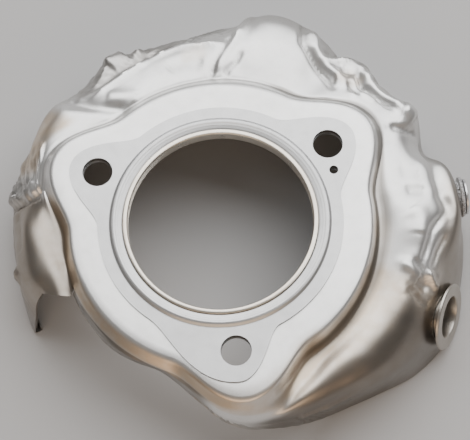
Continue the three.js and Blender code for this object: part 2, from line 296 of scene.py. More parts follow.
@dataclass(frozen=True)
class SheetFinish(Finish):
    """Rolled and pressed sheet metal: satin, with fine grain and wipe marks; when painted, it also
    takes a painted warm reflection, painted shade in the folds and painted shade on stretches of
    the sheet.
    """

    shade: Colour
    roughness: float
    # Colours of the painted warm reflection and of the painted shade.
    reflection_colour: Colour = (0.66, 0.55, 0.43)
    painted_shade: Colour = (0.21, 0.19, 0.17)
    grain: float = 0.000018
    painted: bool = False

    def sockets(self, graph: Graph) -> dict[str, Any]:
        """Works out the surface.

        Args:
            graph: The material's node tree.

        Returns:
            What feeds the shader's sockets.
        """
        cloud = graph.noise(28.0, 3.0, 0.55)
        mottle = graph.noise(240.0, 4.0, 0.6)
        rolled = graph.noise(1.0, 3.0, 0.6, graph.stretched((3800.0, 180.0, 900.0)))
        speck = graph.noise(2600.0, 2.0, 0.5)
        wiped = graph.noise(1.0, 2.0, 0.5, graph.stretched((90.0, 700.0, 300.0)))
        amount = (cloud.smooth(0.35, 0.75) * 0.5 + mottle.smooth(0.42, 0.78) * 0.35).clamped()
        amount = (amount + speck.smooth(0.45, 0.7) * 0.35).clamped()
        colour = graph.blend(amount * 0.6, self.colour, self.shade)
        rough = self.roughness + (cloud - 0.5) * 0.1 + (mottle - 0.5) * 0.12
        rough = rough + wiped.smooth(0.6, 0.8) * 0.05
        if self.painted:
            # Painted warm reflection: the warm colour is mixed in where the point attribute sets
            # it.
            warm_reflection = graph.attribute("warm_reflection") * (0.75 + (mottle - 0.5) * 0.8)
            colour = graph.blend(warm_reflection.clamped(), colour, self.reflection_colour)
            # Painted shade in the folds: points that lie deep in a fold are painted darker; the
            # fold also roughens the metal.
            hollow = graph.attribute("hollow")
            dark = tuple(0.42 * channel for channel in self.shade)
            colour = graph.blend((hollow * 0.35).clamped(), colour, dark)
            # Painted shade on the walls, skirts, groove and tunnel, varied a little by the cloud
            # pattern.
            painted_shade = graph.attribute("painted_shade") * (0.8 + (cloud - 0.5) * 0.5)
            colour = graph.blend(painted_shade.clamped(), colour, self.painted_shade)
            rough = rough + hollow * 0.12
        height = rolled * 0.6 + speck * 0.4
        return {
            "Base Color": colour,
            "Metallic": 1.0,
            "Roughness": rough.clamped(),
            "Normal": graph.bump(height, self.grain),
        }


@dataclass(frozen=True)
class FibreFinish(Finish):
    """Pressed mineral fibre: matt, felted, with short dark strands."""

    shade: Colour

    def sockets(self, graph: Graph) -> dict[str, Any]:
        """Works out the surface.

        Args:
            graph: The material's node tree.

        Returns:
            What feeds the shader's sockets.
        """
        felt = graph.noise(900.0, 5.0, 0.7)
        strand = graph.noise(1.0, 3.0, 0.7, graph.stretched((2400.0, 400.0, 1200.0)))
        colour = graph.blend((felt * 0.6 + strand * 0.4).smooth(0.35, 0.7), self.shade, self.colour)
        return {
            "Base Color": colour,
            "Roughness": (0.85 + felt * 0.12).clamped(),
            "Normal": graph.bump(felt * 0.5 + strand * 0.5, 0.0002),
        }


@dataclass(frozen=True)
class WireFinish(Finish):
    """Knitted steel wire pressed into a ring: crossing strands, with painted shade in the gaps
    between them.
    """

    gap: Colour

    def sockets(self, graph: Graph) -> dict[str, Any]:
        """Works out the surface.

        Args:
            graph: The material's node tree.

        Returns:
            What feeds the shader's sockets.
        """
        one = graph.noise(1.0, 1.0, 0.4, graph.stretched((2600.0, 700.0, 1500.0)))
        other = graph.noise(1.0, 1.0, 0.4, graph.stretched((700.0, 2600.0, 1700.0)))
        strands = ((one - 0.5).absolute() * (other - 0.5).absolute() * 40.0).clamped()
        # The gap colour is painted shade between the strands.
        return {
            "Base Color": graph.blend(strands, self.colour, self.gap),
            "Metallic": 1.0,
            "Roughness": (0.45 + strands * 0.3).clamped(),
            "Normal": graph.bump(1.0 - strands, 0.0003),
        }


@dataclass(frozen=True)
class GraphiteFinish(Finish):
    """Pressed graphite: nearly black, with a dull greasy sheen."""

    def sockets(self, graph: Graph) -> dict[str, Any]:
        """Works out the surface.

        Args:
            graph: The material's node tree.

        Returns:
            What feeds the shader's sockets.
        """
        flake = graph.noise(1500.0, 3.0, 0.6)
        light = tuple(2.2 * channel for channel in self.colour)
        return {
            "Base Color": graph.blend(flake.smooth(0.4, 0.8), self.colour, light),
            "Roughness": (0.55 + flake * 0.25).clamped(),
            "Metallic": 0.3,
            "Normal": graph.bump(flake, 0.00006),
        }


# The outer skin's steel takes the painted warm reflection, the painted fold shade and the painted
# shade.
SHIELD_STEEL = SheetFinish(
    "shield_steel", (0.84, 0.84, 0.835), (0.66, 0.655, 0.645), 0.35, painted=True
)
INNER_STEEL = SheetFinish("inner_steel", (0.32, 0.305, 0.285), (0.2, 0.185, 0.165), 0.45)
GASKET_STEEL = SheetFinish("gasket_steel", (0.64, 0.645, 0.65), (0.54, 0.54, 0.545), 0.42)
CORE_STEEL = SheetFinish("core_steel", (0.42, 0.425, 0.43), (0.33, 0.33, 0.33), 0.5)
EYELET_STEEL = SheetFinish("eyelet_steel", (0.81, 0.76, 0.68), (0.66, 0.57, 0.46), 0.3)
# A darker copy of the eyelet steel: painted shade for the port collar, which sits in shade on the
# skirt.
SHADED_PORT_STEEL = SheetFinish("shaded_port_steel", (0.50, 0.47, 0.43), (0.36, 0.335, 0.30), 0.34)
BUSH_STEEL = SheetFinish("bush_steel", (0.74, 0.74, 0.745), (0.6, 0.6, 0.61), 0.28)
INSULATION = FibreFinish("insulation", (0.62, 0.56, 0.45), (0.4, 0.35, 0.27))
WIRE_MESH = WireFinish("wire_mesh", (0.66, 0.66, 0.67), (0.16, 0.15, 0.14))
GRAPHITE = GraphiteFinish("graphite", (0.035, 0.035, 0.04))
FLOOR_PAINT = Finish("floor_paint", (0.5, 0.5, 0.505))


# ---- Modelling helpers -------------------------------------------------------------


@dataclass(frozen=True)
class Place:
    """Where the bore axis and the gasket's upper face lie in the frame."""

    axis: Vector

    @classmethod
    def from_frame(cls) -> "Place":
        """Reads the place from the bore ring's box and the gasket face's mount."""
        low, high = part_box("bore_eyelet")
        centre = (low + high) / 2
        face = next(m for m in frame["record"]["mounts"] if m["name"] == "gasket_face")
        return cls(Vector((centre.x, centre.y, face["pos_m"][2])))

    def matrix(self) -> Matrix:
        """The move and scale from millimetres about the bore to the frame."""
        return Matrix.Translation(self.axis) @ Matrix.Scale(MM, 4)


HOLE_STEPS = 64
MERGED_WITHIN = 0.002
SHARP_EDGE = math.radians(40)


def deselect() -> None:
    """Deselects every object."""
    bpy.ops.object.select_all(action="DESELECT")


def only(piece: bpy.types.Object) -> None:
    """Selects one object and makes it the active one."""
    deselect()
    piece.select_set(True)
    bpy.context.view_layer.objects.active = piece


def turned(name: str, profile: Profile, segments: int) -> bpy.types.Object:
    """Turns a closed profile about Z, as a circle that is extruded from point to point.

    Args:
        name: The piece's name.
        profile: Radius and level of each point, in millimetres, without repeating the first.
        segments: Steps around.

    Returns:
        The ring, closed, in millimetres about its own axis.
    """
    deselect()
    radius, level = profile[0]
    bpy.ops.mesh.primitive_circle_add(vertices=segments, radius=radius, location=(0, 0, level))
    piece = bpy.context.object
    piece.name = name
    bpy.ops.object.mode_set(mode="EDIT")
    bpy.ops.mesh.select_all(action="SELECT")
    for (radius, level), (next_radius, next_level) in pairwise([*profile, profile[0]]):
        bpy.ops.mesh.extrude_region_move(
            TRANSFORM_OT_translate={"value": (0, 0, next_level - level)}
        )
        ratio = next_radius / radius
        bpy.ops.transform.resize(value=(ratio, ratio, 1), center_override=(0, 0, next_level))
    bpy.ops.mesh.select_all(action="SELECT")
    bpy.ops.mesh.remove_doubles(threshold=MERGED_WITHIN)
    bpy.ops.mesh.normals_make_consistent(inside=False)
    bpy.ops.object.mode_set(mode="OBJECT")
    bpy.ops.object.transform_apply(location=True, rotation=True, scale=True)
    return piece


def post(
    radius: float,
    depth: float,
    at: Sequence[float] = (0, 0, 0),
    turn: Sequence[float] = (0, 0, 0),
) -> bpy.types.Object:
    """Adds a cylinder for cutting a round hole.

    Args:
        radius: Its radius, in millimetres.
        depth: Its length, along Z before it is turned.
        at: Its middle.
        turn: Its rotation, in radians.

    Returns:
        The cylinder.
    """
    deselect()
    bpy.ops.mesh.primitive_cylinder_add(
        vertices=HOLE_STEPS, radius=radius, depth=depth, location=at, rotation=turn
    )
    return bpy.context.object


def modify(piece: bpy.types.Object, kind: str, **settings: Any) -> None:
    """Adds a modifier to a piece and applies it.

    Args:
        piece: The piece.
        kind: The modifier's type.
        settings: Its properties.
    """
    modifier = piece.modifiers.new(kind.lower(), kind)
    for key, value in settings.items():
        setattr(modifier, key, value)
    only(piece)
    bpy.ops.object.modifier_apply(modifier=modifier.name)


def cut_with(piece: bpy.types.Object, cutter: bpy.types.Object, solver: str = "EXACT") -> None:
    """Cuts a piece with a cutter, which is then thrown away.

    Args:
        piece: What is cut.
        cutter: The closed shape taken out of it.
        solver: The Boolean modifier's solver.
    """
    modify(piece, "BOOLEAN", object=cutter, solver=solver)
    bpy.data.objects.remove(cutter)


def soften(piece: bpy.types.Object, width: float) -> None:
    """Rounds a piece's sharp edges.

    Args:
        piece: The piece, in millimetres.
        width: Width of the rounding.
    """
    modify(piece, "BEVEL", width=width, segments=2, limit_method="ANGLE", angle_limit=SHARP_EDGE)


def shade(piece: bpy.types.Object, angle: float = 35.0) -> None:
    """Shades a piece smooth, apart from edges sharper than an angle in degrees."""
    only(piece)
    bpy.ops.object.shade_smooth_by_angle(angle=math.radians(angle))


def keep_flats(piece: bpy.types.Object) -> None:
    """Lets the large flat faces set the shading beside their rounded edges."""
    modify(piece, "WEIGHTED_NORMAL", weight=100, keep_sharp=True)


def hand_in(
    piece: bpy.types.Object, place: Matrix, finish: Finish, body: str, slot: str, *nodes: str
) -> None:
    """Puts a piece in place, dresses it, hangs it on its body and hides the CAD nodes that it
    stands for.

    Args:
        piece: The piece, modelled in millimetres about its own axis.
        place: Where it goes in the frame.
        finish: What it is dressed in.
        body: The body that it rides on.
        slot: The record's material slot; not used.
        nodes: The CAD nodes that it stands for.
    """
    piece.data.transform(place)
    piece.data.materials.clear()
    piece.data.materials.append(finish.material())
    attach(piece, body)
    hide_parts(*nodes)
    LOG.info("%s: %d faces", piece.name, len(piece.data.polygons))


# ---- Lobed outlines ----------------------------------------------------------------


@dataclass(frozen=True)
class Lobe:
    """One lobe of an outline: its angle, how far it reaches, and its width on each side."""

    angle: float
    reach: float
    before: float
    after: float


@dataclass(frozen=True)
class LobedOutline:
    """A round outline with lobes."""

    waist: float
    lobes: tuple[Lobe, ...]

    def radius(self, angles: np.ndarray) -> np.ndarray:
        """Radius at angles in degrees.

        Args:
            angles: The angles.

        Returns:
            The radii.
        """
        radius = np.full(angles.shape, self.waist)
        for lobe in self.lobes:
            away = (angles - lobe.angle + 180) % 360 - 180
            width = np.where(away < 0, lobe.before, lobe.after)
            bump = np.cos(np.clip(np.abs(away) / width, 0, 1) * math.pi / 2) ** 2
            radius = radius + lobe.reach * bump
        return radius


GASKET_OUTLINE = LobedOutline(
    46.3, (Lobe(30, 15.7, 26, 27), Lobe(150, 15.7, 26, 26), Lobe(270, 16.5, 42, 22))
)
PLATEAU_OUTLINE = LobedOutline(
    57.6, (Lobe(30, 12.6, 27, 27), Lobe(150.5, 12.6, 27, 27), Lobe(271.5, 12.6, 27, 27))
)


# ---- Gasket pack -------------------------------------------------------------------


@dataclass
class GasketPack:
    """The clamped gasket: two beaded facing plates, a core plate, the bore ring and its seals."""

    place: Place
    bolt_circle: float = 51.0
    bolt_radius: float = 5.75
    bolt_angles: tuple[float, ...] = (30, 150, 270)
    pin: tuple[float, float, float] = (45, 14.7, 1.7)
    plate: float = 0.6
    inner: float = 36.1
    core: tuple[float, float] = (-2.5, -3.3)
    bottom: float = -4.2
    back_inset: float = 0.5
    core_inset: float = 0.3
    core_clearance: float = -0.15
    seal_depth: float = 0.12
    steps: int = 384

    def holes(self, clearance: float) -> list[tuple[float, float, float]]:
        """X, Y and radius of the stud holes and the pin hole.

        Args:
            clearance: Added to each radius.

        Returns:
            The holes.
        """
        found = []
        for angle in self.bolt_angles:
            turn = math.radians(angle)
            x, y = self.bolt_circle * math.cos(turn), self.bolt_circle * math.sin(turn)
            found.append((x, y, self.bolt_radius + clearance))
        found.append((self.pin[0], self.pin[1], self.pin[2] + clearance))
        return found

    def drill(self, piece: bpy.types.Object, clearance: float) -> None:
        """Cuts the stud holes and the pin hole through a plate.

        Args:
            piece: The plate, in millimetres.
            clearance: Added to each radius.
        """
        for x, y, radius in self.holes(clearance):
            cut_with(piece, post(radius, 40, (x, y, 0)))

    def lobed(self, piece: bpy.types.Object, inset: float) -> None:
        """Pulls a ring's outermost edge out to the gasket's outline.

        Args:
            piece: A ring whose outer edge lies at the outline's waist.
            inset: How far inside the outline it ends.
        """
        edge = GASKET_OUTLINE.waist - 0.1
        for vertex in piece.data.vertices:
            radius = math.hypot(vertex.co.x, vertex.co.y)
            if radius > edge:
                angle = math.degrees(math.atan2(vertex.co.y, vertex.co.x)) % 360
                wanted = float(GASKET_OUTLINE.radius(np.array([angle]))[0]) - inset
                vertex.co.x *= wanted / radius
                vertex.co.y *= wanted / radius

    def beaded(self, name: str, inset: float) -> bpy.types.Object:
        """A facing plate with its bead upwards and its upper side at level 0.

        Args:
            name: The piece's name.
            inset: How far inside the outline it ends.

        Returns:
            The plate, in millimetres.
        """
        waist, under = GASKET_OUTLINE.waist, -self.plate
        crest = [
            (42.4, 0.0), (42.0, 0.03), (41.7, 0.16), (41.1, 0.72), (40.8, 0.96), (40.4, 1.08),
            (40.0, 1.09), (39.55, 1.03), (39.45, 0.93), (38.6, 0.8), (38.5, 0.7), (37.7, 0.52),
            (37.2, 0.3), (36.8, 0.08), (36.5, 0.0),
        ]
        hollow = [(self.inner, 0.0), (self.inner, under), (36.9, under), (37.6, -0.1), (38.4, 0.2)]
        hollow += [(40.2, 0.48), (41.0, 0.05), (41.6, -0.5), (42.2, under), (waist, under)]
        piece = turned(name, [(waist, 0.0), *crest, *hollow], self.steps)
        self.lobed(piece, inset)
        self.drill(piece, 0)
        soften(piece, 0.09)
        shade(piece)
        return piece

    def top_plate(self) -> None:
        """The facing plate that shows from above."""
        piece = self.beaded("gasket_facing", 0)
        keep_flats(piece)
        where = self.place.matrix()
        hand_in(piece, where, GASKET_STEEL, "shield", "gasket_steel", "gasket_top_plate")

    def bottom_plate(self) -> None:
        """The same plate, mirrored, under the stack."""
        piece = self.beaded("gasket_back", self.back_inset)
        for vertex in piece.data.vertices:
            vertex.co.z = self.bottom - vertex.co.z
        piece.data.flip_normals()
        keep_flats(piece)
        where = self.place.matrix()
        hand_in(piece, where, GASKET_STEEL, "shield", "gasket_steel", "gasket_bottom_plate")

    def core_plate(self) -> None:
        """The stiff plate between the facings."""
        top, under = self.core
        waist = GASKET_OUTLINE.waist
        profile = [(waist, top), (self.inner, top), (self.inner, under), (waist, under)]
        piece = turned("gasket_core", profile, self.steps)
        self.lobed(piece, self.core_inset)
        self.drill(piece, self.core_clearance)
        soften(piece, 0.1)
        shade(piece)
        keep_flats(piece)
        where = self.place.matrix()
        hand_in(piece, where, CORE_STEEL, "shield", "core_steel", "gasket_core_plate")

    def eyelet(self) -> None:
        """The folded ring that lines the bore; its wall shows the edges of the rolled layers."""
        wall, web, reach, lip = 35.0, 35.5, 36.85, 0.5
        top, under = 0.8, self.bottom - 0.8
        profile = [
            (wall, under + 0.5), (wall + 0.15, under + 0.15), (web, under), (reach, under),
            (reach, under + lip), (web, under + lip), (web, top - lip), (reach - 0.2, top - lip),
            (reach, top - 0.35), (reach, top - 0.15), (reach - 0.2, top), (web, top),
            (wall + 0.15, top - 0.13), (wall, top - 0.45),
        ]
        layer, depth = 0.78, 0.2
        level = top - 0.45
        while level - layer > under + 0.7:
            level -= layer
            profile += [(wall, level + 0.12), (wall + depth, level + 0.04)]
            profile += [(wall + depth, level - 0.04), (wall, level - 0.12)]
        piece = turned("bore_ring", profile, 320)
        shade(piece, 50)
        where = self.place.matrix()
        hand_in(piece, where, EYELET_STEEL, "shield", "eyelet_steel", "bore_eyelet")

    def seal(self, name: str, level: float, node: str) -> None:
        """A graphite ring in a bead's hollow.

        Args:
            name: The piece's name.
            level: Its middle level.
            node: The CAD node that it stands for.
        """
        middle, half_width, half_height, sides_round = 39.25, 0.62, 0.27, 16
        profile = []
        for step in range(sides_round):
            turn = 2 * math.pi * step / sides_round
            across, up = math.cos(turn), math.sin(turn)
            x = math.copysign(half_width * abs(across) ** 0.5, across)
            z = math.copysign(half_height * abs(up) ** 0.5, up)
            profile.append((middle + x, level + z))
        piece = turned(name, profile, 192)
        shade(piece, 60)
        hand_in(piece, self.place.matrix(), GRAPHITE, "shield", "graphite", node)

    def build(self) -> None:
        """Builds every piece of the pack."""
        self.top_plate()
        self.core_plate()
        self.bottom_plate()
        self.eyelet()
        self.seal("upper_seal", -self.seal_depth, "upper_seal_ring")
        self.seal("lower_seal", self.bottom + self.seal_depth, "lower_seal_ring")


# ---- The pressed shield ------------------------------------------------------------

RIM = -42.0
GROOVE_ROW = 4
RIM_ROW = 10

# Sections around the bore axis: the angle, the level of the groove around the plateau, and six
# (radius, level) points from the groove outwards and down to the rim.
SECTIONS: tuple[tuple[Any, ...], ...] = (
    (0, -6.5, (67, -5), (78, -7), (86.5, -10), (92, -13.5), (93, -28), (95, RIM)),
    (10, -6, (67, -5), (77, -7), (85, -10), (91, -14), (92.3, -28), (94, RIM)),
    (18, -5.5, (70, -6), (77, -8), (83, -14), (86, -20), (88, -30), (90, RIM)),
    (27, -5, (75, -6), (80, -7), (87, -9), (91, -14), (91.5, -25), (92, RIM)),
    (35, -5, (75, -6), (79, -8), (84, -11), (87.5, -15), (89, -26), (90, RIM)),
    (45, -5, (67, -5), (74, -7), (83, -9), (89, -13), (91, -25), (92, RIM)),
    (52, -5, (63, -5.5), (72, -8), (80, -10), (87, -15), (90, -26), (91, RIM)),
    (60, -4.5, (62.4, -4.5), (71, -4.6), (81.5, -6.3), (90.5, -11.5), (95, -24), (96, RIM)),
    (72, -4, (62.2, -3.9), (70.5, -3.2), (82, -4.2), (92.5, -10), (98, -24), (99, RIM)),
    (80, -4, (62.2, -3.9), (70, -3.8), (79.5, -6.4), (87.5, -13.5), (93, -26), (95, RIM)),
    (90, -4.5, (62.3, -4.4), (70, -5), (79.5, -9), (86, -18), (90, -28), (92, RIM)),
    (105, -4.5, (62.3, -4.4), (69, -5.5), (77, -9), (84.5, -16.5), (88.5, -27), (90.5, RIM)),
    (115, -4.5, (62.3, -4.5), (68.5, -6), (77, -9), (86, -15.5), (90, -26), (91, RIM)),
    (126, -5, (63, -4.7), (69.5, -5.5), (77, -9), (83, -15), (86, -26), (88, RIM)),
    (135, -5, (67.5, -5.2), (73, -6.2), (80, -8.5), (86, -14), (88.5, -26), (89, RIM)),
    (145, -5.5, (74, -6), (78, -7.5), (82, -11), (85, -18), (86, -28), (86.5, RIM)),
    (155, -6, (74, -7), (76.5, -8.5), (80.5, -13), (84.5, -20), (85.5, -30), (85.5, RIM)),
    (163, -7, (68.8, -7), (72, -9), (77.5, -14), (83.3, -21.5), (85, -31), (86, RIM)),
    (172, -8, (64, -8), (70, -7.5), (76, -10), (80.5, -19), (82.5, -30), (84, RIM)),
    (180, -8.5, (63, -8.5), (68.5, -7), (75, -9.5), (80, -18), (81, -30), (82, RIM)),
    (188, -9, (62, -9), (67.5, -7.5), (74, -10), (79, -19), (80.5, -30), (81.5, RIM)),
    (195, -8, (62.5, -10), (67, -9.5), (72, -12), (76, -20), (78.5, -30), (81, RIM)),
    (198, -5.5, (60.7, -6.6), (60.9, -7.4), (61, -8.1), (61.1, -8.7), (61.2, -9.3), (61.2, -9.9)),
    (206, -4.7, (60.8, -5.6), (61.2, -6.3), (61.4, -7), (61.5, -7.6), (61.5, -8.2), (61.5, -8.8)),
    (222, -4.2, (61.2, -5), (61.8, -5.7), (62.1, -6.4), (62.3, -7.1), (62.4, -7.7), (62.4, -8.3)),
    (232, -4.2, (60.9, -5), (61.1, -5.7), (61.3, -6.4), (61.3, -7.1), (61.3, -7.7), (61.3, -8.3)),
    (241, -4.4, (60.5, -5.2), (60.6, -5.9), (60.6, -6.6), (60.5, -7.2), (60.4, -7.8), (60.4, -8.4)),
    (249, -4.6, (62, -5.5), (62.4, -6.2), (62.7, -6.9), (62.9, -7.5), (63, -8.1), (63, -8.7)),
    (257, -5, (66.9, -6.3), (67.6, -7.3), (68, -8.1), (68.2, -8.9), (68.3, -9.7), (68.4, -10.5)),
    (264, -5.2, (72, -7.2), (72.9, -8.9), (73.4, -10.4), (73.7, -11.8), (73.9, -13.2), (74, -14.6)),
    (270, -5.5, (74, -8), (75.3, -11), (75.7, -14), (75.9, -16), (76, -18), (76, -20)),
    (280, -7, (73.5, -10), (75.5, -12), (76.3, -16), (76.2, -21), (76, -26), (76, -31)),
    (288, -9, (68.5, -10), (73, -9), (76.5, -13), (77.5, -20), (77, -30), (76.5, -38)),
    (300, -10, (64, -10), (70, -8), (77, -12), (79.5, -20), (79, -30), (78.5, RIM)),
    (310, -10, (64, -10), (71, -8), (79, -12.5), (83, -21), (83, -31), (83, RIM)),
    (320, -9.5, (64.5, -9.5), (72, -8.5), (80, -13), (85.5, -22), (88, -31), (89.5, RIM)),
    (330, -9, (65, -9), (73, -9), (80, -13), (87, -22), (91, -31), (93.5, RIM)),
    (345, -7.5, (66, -7), (75, -8), (82, -14), (88, -20), (92, -30), (94, RIM)),
    (352, -7, (66.5, -6), (76, -7), (83.5, -12), (90, -16), (92.5, -29), (94.5, RIM)),
)


class Mark(Enum):
    """How a press mark shapes the sheet across its path."""

    ROLL = "a round ridge or, with a negative height, a round hollow"
    CREASE = "a sharp ridge or, with a negative height, a sharp fold"


@dataclass(frozen=True)
class PressMark:
    """A crease, fold or lump that runs along a path on the sheet.

    The path's points are (angle, row): degrees around the bore, and place along the section, where
    row 4 is the groove and rows 5 to 10 are the section's six points, the last of them the rim.
    """

    mark: Mark
    height: float
    width: float
    path: tuple[tuple[float, float], ...]


def hermite(x: np.ndarray, xs: np.ndarray, ys: np.ndarray) -> np.ndarray:
    """Smooth curve through four points, between the second and the third.

    Args:
        x: Where to read it, shape (n,).
        xs: The four places, shape (n, 4).
        ys: The four values, shape (n, 4, ...).

    Returns:
        The values, shape (n, ...).
    """
    spread = (slice(None),) + (None,) * (ys.ndim - 2)
    step = (xs[:, 2] - xs[:, 1])[spread]
    t = ((x - xs[:, 1]) / (xs[:, 2] - xs[:, 1]))[spread]
    start = step * (ys[:, 2] - ys[:, 0]) / (xs[:, 2] - xs[:, 0])[spread]
    end = step * (ys[:, 3] - ys[:, 1]) / (xs[:, 3] - xs[:, 1])[spread]
    return (
        (2 * t**3 - 3 * t**2 + 1) * ys[:, 1]
        + (t**3 - 2 * t**2 + t) * start
        + (3 * t**2 - 2 * t**3) * ys[:, 2]
        + (t**3 - t**2) * end
    )


@dataclass
class ShieldForm:
    """The pressed surface: smooth sections round the bore, an open mouth, and press marks."""

    skin_inner: float = 43.2
    top: float = -0.9
    mouth_from: float = 195.0
    mouth_to: float = 198.0
    mouth_fade: float = 12.0
    mouth_lean: tuple[float, ...] = (3, 1, -2, -1.5, 0, 1)
    hem: float = 1.75
    smallest_hem: float = 0.3

    def controls(self, angles: np.ndarray) -> np.ndarray:
        """Control points of the sections at angles.

        Args:
            angles: Degrees, shape (n,).

        Returns:
            (radius, level) of the eleven points of each, shape (n, 11, 2).
        """
        turned_by = angles % 360
        places = np.array([section[0] for section in SECTIONS], float)
        grooves = np.array([section[1] for section in SECTIONS], float)
        points = np.array([section[2:] for section in SECTIONS], float)
        count = len(places)
        after = np.searchsorted(places, turned_by, side="right")
        index = after[:, None] + np.arange(-2, 2)
        near = index % count
        at = places[near] + 360.0 * (index // count)
        low_side = turned_by <= self.mouth_from
        edge = np.where(low_side, self.mouth_from, self.mouth_to)
        own = np.searchsorted(places, edge)[:, None]
        beyond = np.where(
            low_side[:, None], (at >= self.mouth_to) & (at < 360), at <= self.mouth_from
        )
        groove = hermite(turned_by, at, grooves[near])
        body = hermite(turned_by, at, points[np.where(beyond, own, near)])
        body[..., 1] = np.maximum(body[..., 1], RIM)
        rim = PLATEAU_OUTLINE.radius(angles)
        # The plateau's flat, its rounded edge and the wall down to the groove.
        plateau = [
            (np.full_like(rim, self.skin_inner), np.full_like(rim, self.top)),
            (rim - 2.2, np.full_like(rim, self.top)),
            (rim - 0.4, np.full_like(rim, self.top - 0.7)),
            (rim + 0.8, (self.top + groove) / 2),
            (rim + 2.6, groove),
        ]
        flat = np.stack([np.stack(pair, -1) for pair in plateau], 1)
        shape = np.concatenate([flat, body], 1)
        shape[:, -1, 1] += self.hem_radius(shape)
        return shape

    def hem_radius(self, shape: np.ndarray) -> np.ndarray:
        """Radius of the rolled hem, smaller where the sheet's last stretch is short.

        Args:
            shape: Control points of the sections, before or after the rim is raised.

        Returns:
            The radii, shape (n,).
        """
        drop = shape[:, -3, 1] - shape[:, -2, 1]
        return np.clip(drop * 0.5, self.smallest_hem, self.hem)

    def surface(self, angles: np.ndarray, rows: np.ndarray) -> np.ndarray:
        """Points on the surface, without press marks.

        Args:
            angles: Degrees, shape (n,).
            rows: Places along the section, shape (n,).

        Returns:
            Points in millimetres, shape (n, 3).
        """
        shape = self.controls(angles)
        # One more point at each end gives the curve its direction there.
        ghost = shape[:, 1:2] - np.array([1.8, 0.0])
        last = shape[:, -1:] * 2 - shape[:, -2:-1]
        line = np.concatenate([ghost, shape[:, 1:], last], 1)
        shortest = 0.05
        chord = np.sqrt(np.maximum(np.linalg.norm(np.diff(line, axis=1), axis=2), shortest))
        knots = np.concatenate([np.zeros((len(angles), 1)), np.cumsum(chord, 1)], 1)
        cell = np.clip(rows.astype(int), 1, RIM_ROW - 1)
        pick = cell[:, None] + np.arange(-1, 3)
        each = np.arange(len(angles))[:, None]
        near, at = line[each, pick], knots[each, pick]
        inside = np.clip(rows, 1, RIM_ROW) - cell
        where = at[:, 1] + inside * (at[:, 2] - at[:, 1])
        found = hermite(where, at, near)
        flat = np.clip(rows, 0, 1)[:, None] * (shape[:, 1] - shape[:, 0]) + shape[:, 0]
        found = np.where((rows < 1)[:, None], flat, found)
        fade = np.clip(1 - (self.mouth_from - angles) / self.mouth_fade, 0, 1) ** 2
        lean = np.interp(rows, np.arange(GROOVE_ROW, RIM_ROW + 1), (0, *self.mouth_lean))
        turn = np.radians(angles + np.where(angles <= self.mouth_from, lean * fade, 0))
        radius = found[:, 0]
        return np.stack([radius * np.cos(turn), radius * np.sin(turn), found[:, 1]], -1)

    def path(self, points: Sequence[tuple[float, float]], step: float = 0.5) -> np.ndarray:
        """A press mark's path on the surface.

        Args:
            points: Its (angle, row) points.
            step: Spacing of the result, in millimetres.

        Returns:
            Points in millimetres, and their share of the length, shape (m, 4).
        """
        corners = np.array(points, float)
        share = np.linspace(0, len(corners) - 1, 40 * len(corners))
        angles = np.interp(share, np.arange(len(corners)), np.unwrap(corners[:, 0], period=360))
        rows = np.interp(share, np.arange(len(corners)), corners[:, 1])
        line = self.surface(angles % 360, rows)
        along = np.concatenate([[0], np.cumsum(np.linalg.norm(np.diff(line, axis=0), axis=1))])
        wanted = np.arange(0, along[-1], step)
        spaced = [np.interp(wanted, along, line[:, axis]) for axis in range(3)]
        return np.stack([*spaced, wanted / along[-1]], -1)


